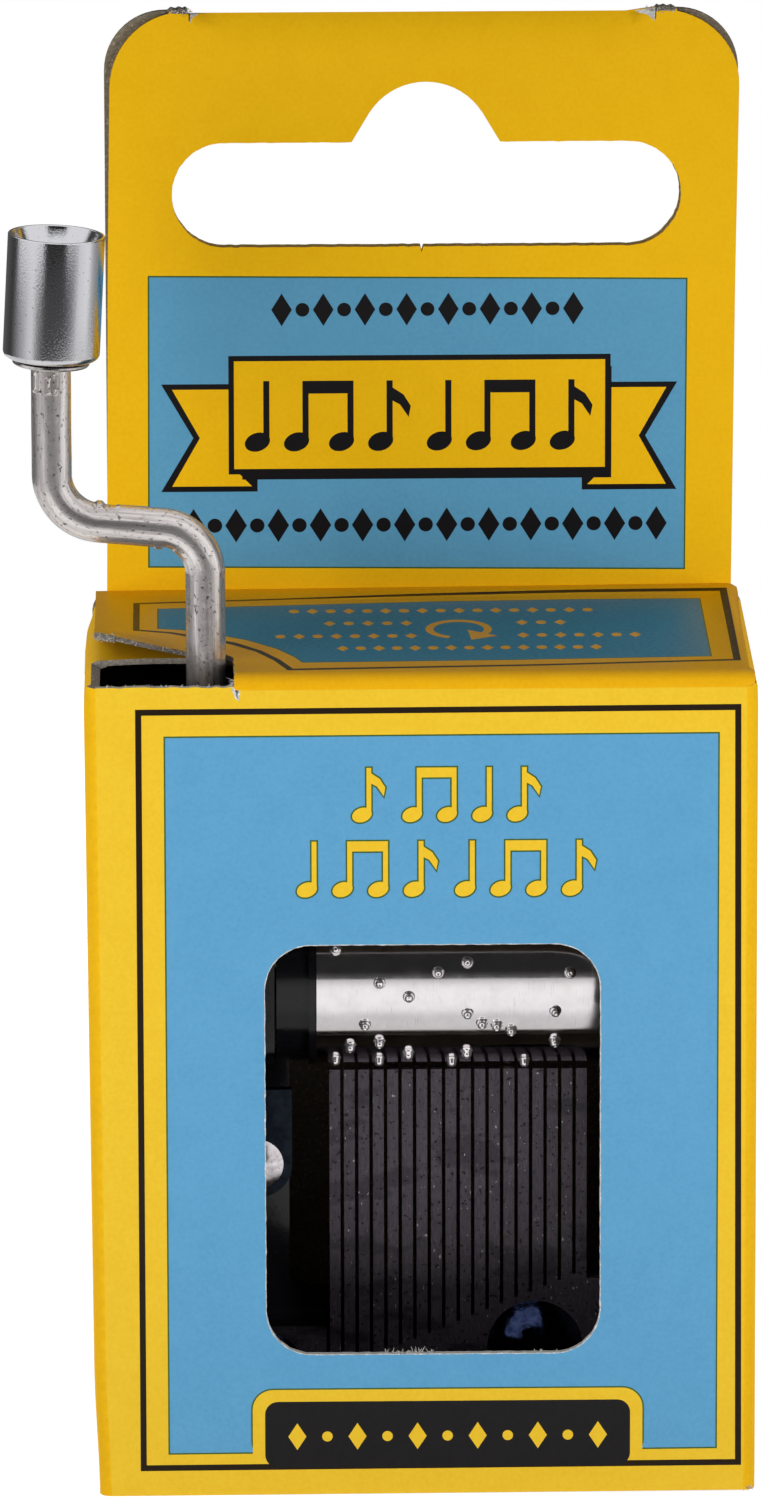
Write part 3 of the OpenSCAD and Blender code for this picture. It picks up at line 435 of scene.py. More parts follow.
front = {
    "x": 21.7, "foot": 0.12, "top": 56.6, "notchTop": 56.8,
    "window": (-10.85, 10.0, 11.85, 38.8, 3.1), "windowEdge": 0.06,
    "line": [(-19.5, 1.77), (21.54, 1.9), (21.32, 55.43), (-19.5, 55.3)], "lineW": 0.42,
    "blue": [(-17.6, 2.93), (19.88, 3.1), (19.88, 53.5), (-17.6, 53.43)],
    "plaque": (-10.99, 1.95, 13.94, 6.64), "plaqueR": 0.9, "border": 0.95, "borderR": 1.5,
    "dots": 11, "dotsIn": 2.2, "dotsZ": 4.15,       # how many on the plaque, and how far from its ends
    "title": ((shortTune, 47.4, 3.8), (tune, 42.2, 3.9)), "titleX": 1.5, "titleGap": 1.0,   # foot, height
    "notchX": -12.75, "waver": 0.09, "paleZ": 55.2,       # its edge wavers and shows pale above this height
    "waverStep": 0.3, "waverPoints": 29,
    "leanX": -19.4, "leanWide": 2.3,       # left of this, over this width, it follows the leaning side wall
    # beside notchX: the torn corner, and where its coating is gone
    "tear": [(0.25, 56.6), (0.14, 56.3), (0.17, 55.95), (0.08, 56.2), (0.02, 56.5)],
    "bare": [(-0.3, 56.85), (0.32, 56.6), (0.3, 56.2), (0.22, 55.85), (0.02, 56.0), (-0.2, 56.5)],
}


def placeFront(u, v, depth):
    lean = leftLean(v) * ease((front["leanX"] - u) / front["leanWide"])
    return (u - lean, depth - carton["halfD"], v)


w, border, tearX = front["lineW"], front["border"], front["notchX"]
px0, pz0, px1, pz1 = front["plaque"]
wx0, wz0, wx1, wz1, wr = front["window"]
blank = [(-front["x"], 0.0), (front["x"], front["foot"]), (front["x"], front["top"])]
blank += [(tearX + x, z) for x, z in front["tear"]]
for x in [tearX - 0.1 - front["waverStep"] * i for i in range(front["waverPoints"])]:
    blank.append((x, front["notchTop"] + front["waver"] * noise.noise(Vector((x * 2.1, 3.3, 0)))))
blank.append((-front["x"], front["notchTop"]))
lineFoot = front["line"][:2]
plaqueRim = (px0 - border, pz0 + w, px1 + border, pz1 + border, front["borderR"])
plaqueField = (px0 - border, pz0 + w - 1.2, px1 + border, pz1 + border, front["borderR"])
layers = [("yellow", blank), ("pale", [(tearX + x, z) for x, z in front["bare"]]),
          ("line", front["line"]), ("yellow", grow(front["line"], -w))]
layers += trapped(front["blue"])
layers += [("trap", roundRect(*plaqueRim)), ("yellow", grow(roundRect(*plaqueField), -trapW)),
           ("line", lineFoot + [(x, z + w) for x, z in reversed(lineFoot)]),
           ("black", roundRect(px0, pz0, px1, pz1, front["plaqueR"]))]
# the title's place: two rows of plain notes
for kinds, z, h in front["title"]:
    layers += noteRow("yellow", kinds, front["titleX"], z, h, front["titleGap"], trapW)
# the plaque: a row of diamonds and dots
dotsX, dotsZ = px0 + front["dotsIn"], front["dotsZ"]
dotStep = (px1 - px0 - 2 * front["dotsIn"]) / (front["dots"] - 1)
for i in range(front["dots"]):
    x = dotsX + i * dotStep
    layers.append(("yellow", disc(x, dotsZ, 0.36, 20) if i % 2 else diamond(x, dotsZ, 0.62, 0.95)))
opening = roundRect(wx0, wz0, wx1, wz1, wr, 12)
# a thin pale rim round the window: painted highlight on its cut edge
layers.append(("pale", ragged(grow(opening, front["windowEdge"]), 0.35, 0.05, 1.7)))
layers.append((None, ragged(opening, 0.35, 0.05, 4.2)))


def frontEdge(a, b):
    middle = (a + b) / 2
    inWindow = wx0 - 1 < middle.x < wx1 + 1 and wz0 - 1 < middle.y < wz1 + 1
    # cut faces round the window and at the notch are pale: painted highlight
    byNotch = middle.y > front["paleZ"] and middle.x < tearX + 0.4
    return "pale" if inWindow or byNotch else "cut"


cutSheet("front_printed_board", layers, placeFront, (2.0, 2.0), ["front_panel"], edgeOf=frontEdge)
print("front made")


# top, with the rolled fold and the notch

top = {
    "foldR": 1.0, "foldY": -12.0, "rearY": 12.0, "leftFlat": -22.25, "rightFlat": 21.95, "rollEnd": 22.25,
    "notchX": -12.8, "notchY": -6.0, "notchR": 2.2,
    "lift": 1.45, "liftX": -15.6,          # the left end of the notch's rear edge curls up, from here on
    "curlDeep": 7.5, "curlWide": 6.4,      # and over this depth and width
    "dip": 0.12, "dipX": -14.6,            # the edge dips a little beside it
    "rightDip": 0.12, "rightDipX": 21.3,   # and at the right edge of the top
    "squeezed": 0.3, "squeezedX": -11,     # share of the board's thickness lost at the cut, left of this
    "crease": 0.12, "creaseRight": 0.3, "creaseY": 9.8,      # swelling below the tab, more to the right
    "creaseDeep": 2.2, "creaseHalfW": 22,
    "lineOut": [(-19.65, 0.1), (-19.65, 8.75), (-9.0, 9.9), (1.2, 10.75), (11.0, 11.1), (21.4, 11.15),
                (21.45, -9.4), (8.0, -10.6), (-9.2, -11.5), (-10.1, -8.6), (-11.3, -6.0), (-13.0, -3.7),
                (-15.0, -2.0), (-17.2, -0.7)],
    "lineIn": [(-19.2, 0.65), (-19.2, 8.4), (-9.0, 9.5), (1.2, 10.3), (11.0, 10.65), (20.9, 10.7),
               (20.95, -9.0), (8.0, -10.15), (-8.85, -11.0), (-9.7, -8.35), (-10.9, -5.75), (-12.6, -3.35),
               (-14.7, -1.5), (-17.0, -0.2)],
    "blue": [(-18.0, 0.9), (-18.0, 7.0), (-8.0, 7.9), (1.2, 8.7), (11.0, 9.1), (19.5, 9.15), (19.55, -8.2),
             (6.0, -8.9), (-8.2, -9.3), (-8.7, -7.7), (-9.9, -5.2), (-11.9, -2.6), (-14.2, -0.6),
             (-16.4, 0.55)],
    "rows": ((5.9, -8.6, 11.6, 17), (2.2, -6.2, 9.6, 13), (-1.6, -9.6, 14.6, 20), (-5.2, -5.4, 11.8, 15)),
    "arrowX": 2.6, "arrowY": 0.3, "arrowR": 2.0, "arrowW": 0.55, "arrowRoom": 3.1,
    "arrowTip": [(3.4, -2.9), (5.2, -1.7), (3.2, 0.1)],
}
foldLen = top["foldR"] * math.pi / 2


def topV(y):  # length along the sheet from the fold's foot to depth y
    return foldLen + y - top["foldY"]


def onTop(points):
    return [(x, topV(y)) for x, y in points]


def placeTop(u, v, depth):
    r, high = top["foldR"] - depth, carton["height"]
    if v < foldLen:
        a = v / top["foldR"]
        turn = math.asin(clamp((abs(u) - front["x"]) / side["foldR"]))
        back = side["foldR"] * (1 - math.cos(turn))       # the roll's end follows the upright fold
        y = top["foldY"] - (r - back) * math.cos(a)
        return (u, y, high - top["foldR"] + (r - 0.6 * back) * math.sin(a))
    y = top["foldY"] + v - foldLen
    near = clamp(1 - (y - top["notchY"]) / top["curlDeep"])
    z = high - depth * (1 - top["squeezed"] * near * clamp(top["squeezedX"] - u))
    if y > top["notchY"] - 0.3:
        z += top["lift"] * clamp((top["liftX"] - u) / top["curlWide"]) ** 1.15 * ease(near)
        z -= top["dip"] * clamp(1 - abs(u - top["dipX"]) / 2) * ease(near)
    z -= top["rightDip"] * clamp((u - top["rightDipX"]) / 0.6) ** 2
    swell = top["crease"] + top["creaseRight"] * clamp((u + top["creaseHalfW"]) / (2 * top["creaseHalfW"]))
    z += swell * ease((y - top["creaseY"]) / top["creaseDeep"])
    return (u, y, z)


flatV, rearV = topV(top["foldY"]), topV(top["rearY"])
leftX, rightX, roll = top["leftFlat"], top["rightFlat"], top["rollEnd"]
blank = [(leftX, 0.0), (roll, 0.0), (roll, flatV), (rightX, flatV + 1.2), (rightX + 0.05, topV(3.0)),
         (rightX + 0.22, topV(10.6)), (rightX + 0.17, rearV - 0.5), (rightX - 0.15, rearV), (leftX, rearV)]
# the top is drawn in the shaded copies of the yellow and blue: painted shade
layers = [("ochre", blank), ("line", onTop(top["lineOut"])), ("ochre", onTop(top["lineIn"]))]
layers += trapped(onTop(top["blue"]), "deep")
for row, (y, xFrom, xTo, count) in enumerate(top["rows"]):
    for i in range(count):
        x = xFrom + (xTo - xFrom) * i / (count - 1)
        if abs(x - top["arrowX"]) >= top["arrowRoom"] or row in (0, 3):       # the middle rows leave a gap
            spot = diamond(x, y, 0.42, 0.8) if (i + row) % 2 else disc(x, y, 0.36, 16, 1.5)
            layers.append(("ochre", onTop(spot)))
# a plain turning arrow in the middle
arrow = arcBand(top["arrowX"], top["arrowY"], top["arrowR"], top["arrowW"], -40, 250, 30, 1.25)
layers += [("ochre", onTop(arrow)), ("ochre", onTop(top["arrowTip"]))]
nx, ny, nr = top["notchX"], top["notchY"], top["notchR"]
outside = -25.0       # well past the sheet's left end
notch = [(outside, -1.0), (nx, -1.0)] + onTop(arcTo(nx - nr, ny - nr, nr, 0, 90, 8)) + [(outside, topV(ny))]
layers.append((None, ragged(notch, 0.4, 0.1, 2.2)))


def topEdge(a, b):
    middle = (a + b) / 2
    if middle.x < -11.0 and middle.y < topV(-4.0):
        # the notch's edge on the roll is pale: painted highlight
        return "pale" if middle.y < 2.2 else "torn"
    # the top's right edge takes the lighter edge colour: painted light
    return "edge_painted_light" if middle.x > 21 else "cut"


cutSheet("top_printed_board", layers, placeTop, (1.0, 0.5), ["top_panel"], edgeOf=topEdge)
print("top made")


# the hang tab

tab = {
    "x0": -21.25, "x1": 21.95, "z0": 57.1, "z1": 98.35, "r": 5.3,
    "foldZ": 97.7, "foldX0": -15.65, "foldX1": 16.35, "frontY": 12.0, "foldR": 0.5,
    "slot": (-16.85, 81.9, 18.15, 89.2), "slotX": 0.65, "humpZ": 88.85, "humpR": 4.55,
    "nick": [(-0.55, 0.2), (-0.38, -0.05), (-0.3, -0.4), (-0.2, -0.05), (0.1, 0.2)],      # in the slot's foot
    "flare": [(-5.1, -1), (5.1, -1), (5.1, 0), (3.85, 2.1), (-3.85, 2.1), (-5.1, 0)],     # from slot to hump
    "label": [(-18.5, 59.35), (18.66, 59.0), (18.66, 79.6), (-18.5, 79.95)],
    "dots": ((77.5, -9.3, 10.8, 15, 1.15), (62.3, -15.4, 16.6, 23, 1.2)),      # z, from, to, count, size
    "leanZ": 80.0, "leanFoot": 0.22, "leanTip": 0.3,       # the front ply's long edges lean, its print stays
    "middleX": 0.35, "halfW": 21.6, "leanDown": 23, "leanUp": 18,
    "rearLean": 0.37, "rearLeanZ": 90.0,                   # the rear ply leans too, up to where it peeks out
    "rearHalfW": 22, "rearLeanDown": 12,
    # board pushed up and torn beside the ends of the fold
    "torn": [(1.4, 0.0), (1.15, 0.2), (0.85, 0.11), (0.6, 0.23), (0.35, 0.13), (0.15, 0.22), (0.02, 0.1)],
}
rear = {"x0": -21.4, "x1": 22.1, "z0": 57.6, "z1": 98.35, "r": 4.2}
foldTip = tab["foldZ"] + tab["foldR"] * math.pi / 2


def tabBlank(ply):
    x0, x1, z0, z1, r = (ply[key] for key in ("x0", "x1", "z0", "z1", "r"))
    fold0, fold1, foldZ = tab["foldX0"], tab["foldX1"], tab["foldZ"]
    right = [p for p in arcTo(x1 - r, z1 - r, r, 0, 90, 15) if p[0] > fold1 + 1.0]
    left = [p for p in arcTo(x0 + r, z1 - r, r, 90, 180, 15) if p[0] < fold0 - 1.0]
    middle = [(fold1 + x, z1 + z) for x, z in tab["torn"]]
    middle += [(fold1, foldZ), (fold1 - 0.06, foldZ), (fold1 - 0.06, foldTip), (fold0 + 0.06, foldTip),
               (fold0 + 0.06, foldZ), (fold0, foldZ)]
    middle += [(fold0 - x, z1 + z) for x, z in reversed(tab["torn"])]
    return [(x0, z0), (x1, z0)] + right + middle + left


def slotHoles():
    sx, hz, hr = tab["slotX"], tab["humpZ"], tab["humpR"]
    x0, z0, x1, z1 = tab["slot"]
    long = ragged(roundRect(x0, z0, x1, z1, (z1 - z0) / 2 - 0.01, 14), 0.4, 0.05, 7.7)
    nick = [(sx + x, z0 + z) for x, z in tab["nick"]]
    flare = [(sx + x, z1 + z) for x, z in tab["flare"]]
    return [(None, long), (None, disc(sx, hz, hr, 56)), (None, nick), (None, flare)]


def placeTab(u, v, depth, outward):  # outward is -1 for the front ply and 1 for the rear ply
    plyY, foldZ, foldR = tab["frontY"] + tab["foldR"], tab["foldZ"], tab["foldR"]
    above, slack = v - tab["leanZ"], 1e-4
    if outward < 0:
        low, high = tab["leanFoot"] * above / tab["leanDown"], tab["leanTip"] * above / tab["leanUp"]
        u += (low if above < 0 else high) * abs((u - tab["middleX"]) / tab["halfW"]) ** 4
    elif u > 0 and v < tab["rearLeanZ"]:
        u -= (tab["rearLean"] * ease((tab["rearLeanZ"] - v) / tab["rearLeanDown"])
              * (u / tab["rearHalfW"]) ** 4)
    if v > foldZ and tab["foldX0"] - slack < u < tab["foldX1"] + slack:
        a, r = (v - foldZ) / foldR, max(0.04, foldR - depth)
        return (u, plyY + outward * r * math.cos(a), foldZ + r * math.sin(a))
    return (u, plyY + outward * (foldR - depth), v)


# the tab takes the shaded copy of the yellow: painted shade
layers = [("amber", tabBlank(tab))] + trapped(tab["label"], "teal")
# the coat is torn at the ends of the fold
for way, end, wide in ((-1, tab["foldX0"], 0.7), (1, tab["foldX1"], 1.4)):
    scrap = ((wide, 0.03), (wide * 0.9, 0.3), (wide * 0.4, 0.5), (0.1, 0.95), (0.06, 0.03))
    layers.append(("pale", [(end - way * x, foldTip - z) for x, z in scrap]))
    tornX0, tornX1 = sorted((end, end + way * 1.3))
    layers.append(("torn", rect(tornX0, tab["z1"] - 0.1, tornX1, tab["z1"] + 0.3)))
for row in tab["dots"]:
    layers += dotRow("black", *row)
# a straight pennant ribbon with notes, drawn as black shapes with the yellow ones inset
ribbon = {"x0": -12.6, "x1": 13.0, "z0": 66.3, "z1": 73.9, "line": 0.38,
          "tail": 5.0, "drop": 1.6, "tuck": 1.6,       # how far its tails reach out, hang lower and go under
          "notch": 2.2,                                # how deep their ends are notched
          "inTail": 0.75, "inTuck": 1.2, "inNotch": 2.65,      # the same for the inset, from the tail's tip
          "shadow": (0.55, -0.75, 0.45, -0.5),
          "notesX": 0.2, "notesUp": 1.25, "notesH": 5.0, "notesGap": 0.9}
rx0, rx1, rz0, rz1 = (ribbon[key] for key in ("x0", "x1", "z0", "z1"))
drop, tail, line, tuck = (ribbon[key] for key in ("drop", "tail", "line", "tuck"))
for way, edge in ((-1, rx0), (1, rx1)):
    outer = [(edge - way * tuck, rz0 - drop), (edge + way * tail, rz0 - drop),
             (edge + way * (tail - ribbon["notch"]), (rz0 + rz1) / 2 - drop), (edge + way * tail, rz1 - drop),
             (edge - way * tuck, rz1 - drop)]
    inRoot, inTip = edge - way * ribbon["inTuck"], edge + way * (tail - ribbon["inTail"])
    inner = [(inRoot, rz0 - drop + line), (inTip, rz0 - drop + line),
             (edge + way * (tail - ribbon["inNotch"]), (rz0 + rz1) / 2 - drop),
             (inTip, rz1 - drop - line), (inRoot, rz1 - drop - line)]
    # the ribbon's inset yellow is the tab's shaded copy too: painted shade
    layers += [("black", outer), ("amber", inner),
               ("black", [(edge - way * tuck, rz0 - drop), (edge, rz0), (edge - way * tuck, rz0)])]
layers += [("black", rect(*(a + by for a, by in zip((rx0, rz0, rx1, rz1), ribbon["shadow"])))),
           ("black", rect(rx0 - line, rz0 - line, rx1 + line, rz1 + line)),
           ("amber", rect(rx0, rz0, rx1, rz1))]
layers += noteRow("black", tune, ribbon["notesX"], rz0 + ribbon["notesUp"], ribbon["notesH"],
                  ribbon["notesGap"])
layers += slotHoles()


def tabEdge(a, b):
    middle = (a + b) / 2
    byFoldEnd = middle.y > 97 and abs(abs(middle.x - tab["middleX"]) - 16.5) < 1.2
    # the other cut edges of the tab take the lighter edge colour: painted light
    return "torn" if byFoldEnd else "edge_painted_light"


def rearEdge(a, b):
    middle = (a + b) / 2
    if middle.y < 58:
        return "yellow"
    # the slot edges take the lighter edge colour: painted light
    return "edge_painted_light" if abs(middle.x) < 19 and middle.y < 97 else "torn"


cutSheet("hang_tab_printed_front", layers, lambda u, v, d: placeTab(u, v, d, -1), (2.0, 2.0),
         ["hang_tab_front_ply"], edgeOf=tabEdge)
layers = [("yellow", mirrored(tabBlank(rear)))] + [(None, mirrored(hole)) for _, hole in slotHoles()]
cutSheet("hang_tab_printed_rear", layers, lambda u, v, d: placeTab(-u, v, d, 1), (3.0, 3.0),
         ["hang_tab_back_ply"], edgeOf=rearEdge)
print("hang tab made")


# back, and the closing flap with its tongue

back = {"foot": 0.54, "cornerX": 21.3, "cornerZ": 56.2, "cornerR": 1.2}
halfW, cx, cz, r = carton["halfW"], back["cornerX"], back["cornerZ"], back["cornerR"]
outline = [(-halfW, back["foot"]), (halfW, back["foot"])]
outline += arcTo(cx, cz, r, 0, 90) + arcTo(-cx, cz, r, 90, 180)
cutSheet("back_printed_board", [("yellow", outline)],
         lambda u, v, d: (-u, carton["halfD"] - d, v), (6.0, 6.0), ["back_panel"],
         edgeOf=lambda a, b: "yellow" if a.y + b.y > 114 else "cut")      # the rear ply carries on above

flap = {"half": 21.95, "tongueHalf": 20.5, "hingeY": 12.75, "frontY": -12.38, "foldR": 0.5,
        "tongue": 8.5, "lean": 11, "corner": 2.5}
flapLen = flap["hingeY"] - flap["frontY"] - flap["foldR"]
foldTurn = math.pi / 2 + math.radians(flap["lean"])
bendLen = flap["foldR"] * foldTurn


def placeFlap(u, v, depth):  # v runs from the hinge to the front fold and up the tongue
    r = max(0.03, flap["foldR"] - depth)
    centreY = flap["frontY"] + flap["foldR"]
    turn = clamp((v - flapLen) / flap["foldR"], 0.0, foldTurn)
    y = centreY - r * math.sin(turn)
    z = flap["foldR"] - r * math.cos(turn)
    if v < flapLen:
        y = flap["hingeY"] - v
    past = max(0.0, v - flapLen - bendLen)
    return (u, y - past * math.cos(foldTurn), z + past * math.sin(foldTurn))


h, th, c = flap["half"], flap["tongueHalf"], flap["corner"]
vEnd = flapLen + bendLen + flap["tongue"] - 0.1
outline = [(h, 0.0), (h, flapLen - 0.8), (h - 0.5, flapLen), (th, flapLen + bendLen)]
outline += arcTo(th - c, vEnd - c, c, 0, 90, 9)
outline += mirrored(outline)
cutSheet("closing_flap_printed_board", [("yellow", outline)], placeFlap, (3.0, 0.15),
         ["bottom_flap", "tuck_tongue"], body="closing_flap")
print("back and closing flap made")


# loose paper fibres where the board is torn

tufts = (      # place, spread in x, y and z, how many fibres, their length and main direction
    {"at": (-1.2, -12.75, 10.02), "by": (1.6, 0.2, 0.03), "many": 46, "long": 0.34, "up": (0, -0.2, 1)},
    {"at": (8.2, -12.75, 10.0), "by": (1.2, 0.2, 0.03), "many": 14, "long": 0.25, "up": (0, -0.2, 1)},
    {"at": (-12.62, -12.85, 56.4), "by": (0.12, 0.1, 0.3), "many": 36, "long": 0.3, "up": (-0.3, -0.8, 0.5)},
    {"at": (-12.8, -12.4, 57.0), "by": (0.1, 0.5, 0.35), "many": 30, "long": 0.35, "up": (-1, -0.2, 0.2)},
    {"at": (-17.2, -12.75, 56.78), "by": (4.2, 0.2, 0.03), "many": 60, "long": 0.22, "up": (0, -0.3, 1)},
    {"at": (-21.5, -5.95, 58.55), "by": (0.6, 0.2, 0.22), "many": 90, "long": 0.42, "up": (-0.5, -0.7, 0.5)},
    {"at": (-16.1, 12.3, 98.3), "by": (0.7, 0.4, 0.12), "many": 60, "long": 0.4, "up": (0, -0.4, 0.4)},
    {"at": (16.8, 12.3, 98.3), "by": (1.0, 0.4, 0.12), "many": 90, "long": 0.45, "up": (0, -0.4, 0.4)},
    {"at": (22.0, -12.75, 0.3), "by": (0.3, 0.2, 0.12), "many": 24, "long": 0.3, "up": (0.2, -0.6, -0.2)},
)


def scatter(seed):  # a repeatable number from -1 to 1
    return clamp(noise.noise(Vector((seed * 1.37, seed * 0.71, 5.1))) * 2.2, -1, 1)


def growTufts():
    bm = bmesh.new()
    seed, thirdTurn = 0.0, 2.094
    maxX, minY, maxZ = carton["halfW"] - 0.01, 0.01 - carton["halfD"], carton["tall"] - 0.01
    for tuft in tufts:
        for _ in range(tuft["many"]):
            values = [scatter(seed + 13.1 * i) for i in range(8)]
            seed += 0.83
            root = Vector([c + s * k for c, s, k in zip(tuft["at"], tuft["by"], values)])
            ahead = Vector(tuft["up"]).normalized() + 0.7 * Vector(values[3:6])
            reach = ahead * tuft["long"] * (0.6 + 0.4 * values[6])
            sag = Vector((values[7], values[6], -abs(values[5]))) * 0.25 * tuft["long"]
            across = reach.cross(Vector((0.3, 0.8, 0.5))).normalized()
            rings = []
            for step, width in ((0.0, 0.035), (0.5, 0.026), (1.0, 0.006)):      # thinner towards the tip
                middle = root + reach * step + sag * step * step
                ring = []
                for k in range(3):
                    turned = across.copy()
                    turned.rotate(Matrix.Rotation(k * thirdTurn, 3, reach))
                    spot = middle + turned * width
                    spot = Vector((min(spot.x, maxX), max(spot.y, minY), clamp(spot.z, 0.01, maxZ)))
                    ring.append(bm.verts.new(spot * mm))
                rings.append(ring)
            for low, high in zip(rings, rings[1:]):
                for k in range(3):
                    bm.faces.new((low[k], low[(k + 1) % 3], high[(k + 1) % 3], high[k]))
            bm.faces.new(rings[0])
            bm.faces.new(rings[-1])
    piece = finishMesh(bm, "torn_board_fibres", [skins["pale"]])
    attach(piece, "carton")


growTufts()
print("torn fibres made")


# metals and plastics

def dress(material, *names):
    for name in names:
        nodes[name].data.materials.clear()
        nodes[name].data.materials.append(material)


# ABS, injection moulded and polished: deep black with a wet gloss and a faint orange peel
def mouldedAbs():
    material, tree, shader, coords = startMaterial("black_ABS_moulded_glossy", Specular_IOR_Level=0.35,
                                                   Base_Color=hexColour("#131216"))
    ripple = speckle(tree, coords, 0.8, 2.0)      # orange peel, 1.2 mm
    dust = speckle(tree, coords, 4.0, 1.0)        # 0.25 mm, coarser than real dust so that it shows
    surface(tree, shader, None, remap(tree, dust, 0.62, 0.8, 0.14, 0.3), ripple, 0.25, 0.05)
    return material


# plain metals: two shades in patches, where wanted with dark pits
def metal(name, hexBase, hexDark, rough, roughMore, patchPerMm, pits=0.0, pitPerMm=4.0, bump=0.006, bare=1.0):
    material, tree, shader, coords = startMaterial(name, Metallic=bare)
    patches = speckle(tree, coords, patchPerMm, 3.0, 0.6)
    shade = blendColour(tree, remap(tree, patches, 0.35, 0.65), hexColour(hexDark), hexColour(hexBase))
    if pits:
        hollows = remap(tree, speckle(tree, coords, pitPerMm, 1.0), 0.66, 0.72)
        shade = blendColour(tree, maths(tree, "MULTIPLY", hollows, pits), shade, hexColour("#2a2725"))
    surface(tree, shader, shade, remap(tree, patches, 0.3, 0.7, rough, rough + roughMore), patches, 0.4, bump)
    return material


# spring steel, blackened: satin dark grey with oily smudges, small pits and a few bright nicks
def combSteel():
    material, tree, shader, coords = startMaterial("spring_steel_blackened", Metallic=0.8)
    brushed = speckle(tree, stretched(tree, coords, (5.0, 1.0, 0.8)), 2.4, 3.0, 0.6)      # 0.1 mm apart
    smudge = speckle(tree, stretched(tree, coords, (0.16, 0.3, 0.42)), 1.0, 3.0, 0.55)    # 6 mm across
    dots = speckle(tree, coords, 3.6, 1.0)                                                # pits of 0.3 mm
    nicks = speckle(tree, stretched(tree, coords, (1.0, 1.0, 0.5)), 5.2, 0.0)             # 0.2 mm
    shade = blendColour(tree, remap(tree, brushed, 0.35, 0.65), hexColour("#504a52"), hexColour("#625c64"))
    shade = blendColour(tree, remap(tree, smudge, 0.54, 0.6, 0.0, 0.6), shade, hexColour("#332f36"))
    shade = blendColour(tree, remap(tree, dots, 0.63, 0.7, 0.0, 0.85), shade, hexColour("#1c191c"))
    shade = blendColour(tree, remap(tree, nicks, 0.78, 0.81), shade, hexColour("#b9b4b8"))
    surface(tree, shader, shade, remap(tree, smudge, 0.4, 0.65, 0.46, 0.36), brushed, 0.3, 0.006)
    return material


# steel wire, drawn and tumbled: streaks along its length, dark pits and a dull sheen
def drawnWire():
    material, tree, shader, coords = startMaterial("steel_wire_drawn_and_tumbled", Metallic=0.78)
    around = addNode(tree, "ShaderNodeAttribute", {"attribute_name": "drawn"}).outputs["Vector"]
    streaks = speckle(tree, stretched(tree, around, (2.6, 2.6, 0.12)), 1.0, 4.0, 0.65)    # 0.4 by 8 mm
    pits = speckle(tree, stretched(tree, around, (4.6, 4.6, 3.0)), 1.0, 2.0, 0.6)         # 0.2 mm
    dents = speckle(tree, stretched(tree, around, (1.2, 1.2, 0.8)), 1.0, 2.0)             # 0.8 mm
    shade = blendColour(tree, remap(tree, streaks, 0.36, 0.62), hexColour("#b3acaa"), hexColour("#e6e0de"))
    shade = blendColour(tree, remap(tree, pits, 0.6, 0.67, 0.0, 0.75), shade, hexColour("#37312f"))
    height = maths(tree, "ADD", remap(tree, streaks, 0.3, 0.7, 0.0, 0.5),
                   maths(tree, "ADD", remap(tree, pits, 0.6, 0.7, 0.6, 0.0), remap(tree, dents, 0.3, 0.7)))
    surface(tree, shader, shade, remap(tree, streaks, 0.3, 0.7, 0.28, 0.15), height, 0.5, 0.02)
    return material


# brass, turned and chrome plated: a clean mirror, finely grained where the tool left it
def turnedChrome():
    material, tree, shader, coords = startMaterial("brass_turned_chrome_plated", Metallic=1.0)
    grain = speckle(tree, coords, 7.0, 2.0, 0.7)      # 0.15 mm, coarser than real tool marks so that it shows
    dust = remap(tree, speckle(tree, coords, 3.4, 1.0), 0.7, 0.74, 0.0, 0.5)
    shade = blendColour(tree, dust, hexColour("#d2d2d6"), hexColour("#8f8e92"))
    surface(tree, shader, shade, remap(tree, grain, 0.3, 0.7, 0.07, 0.15), grain, 0.8, 0.012)
    return material


# nickel on the drum: nearly clean, faintly clouded and with hairline scratches around it
def drumNickel():
    material, tree, shader, coords = startMaterial("nickel_plated_tube", Metallic=1.0)
    cloud = speckle(tree, coords, 0.7, 3.0, 0.6)                                  # 1.4 mm
    hair = speckle(tree, stretched(tree, coords, (7.0, 0.5, 0.5)), 1.6, 2.0)      # 0.1 mm apart, 1.2 mm long
    shade = blendColour(tree, remap(tree, cloud, 0.35, 0.65), hexColour("#eae4e6"), hexColour("#f5f0f2"))
    shade = blendColour(tree, remap(tree, hair, 0.66, 0.72, 0.0, 0.25), shade, hexColour("#a09a9c"))
    surface(tree, shader, shade, remap(tree, cloud, 0.3, 0.7, 0.07, 0.13), cloud, 0.3, 0.004)
    return material


finishes = {
    # dull grey, faintly mottled
    "solder": metal("lead_weights_cast", "#8d9095", "#6f7278", 0.5, 0.2, 3.0),
    # a dark blue mirror with soft dents
    "zinc": metal("steel_blue_zinc_plated", "#333d5c", "#18213e", 0.05, 0.12, 1.8, 0.5, 3.0, bump=0.05),
    # blue-black satin with a few pits
    "bracket": metal("sheet_steel_blued", "#272d37", "#15191f", 0.25, 0.15, 1.2, 0.3, 3.0),
    # bright and lightly pitted
    "rivet": metal("nickel_plated_rivet", "#ece6ea", "#b9b0b5", 0.14, 0.12, 1.4, 0.5, 3.5),
    # small bright tips, a little milky where the wire was clipped
    "pin": metal("music_wire_clipped", "#fffafc", "#e6e0e3", 0.06, 0.08, 4.0, bare=0.86),
    # turned, so satin: warm brass and grey steel
    "brass": metal("brass_turned", "#c9a255", "#a78339", 0.22, 0.12, 3.0),
    "shaft": metal("steel_turned", "#9b9994", "#7d7b76", 0.28, 0.14, 3.0),
    # bright, with duller patches and pits
    "washer": metal("steel_washer_plated", "#d8d4d2", "#aaa5a3", 0.2, 0.15, 2.6, 0.4, 3.5, bump=0.02),
}
wireSteel, chrome, nickel = drawnWire(), turnedChrome(), drumNickel()
dress(skins["inside"], "left_glue_flap", "right_glue_flap", "left_bottom_dust_flap", "right_bottom_dust_flap")
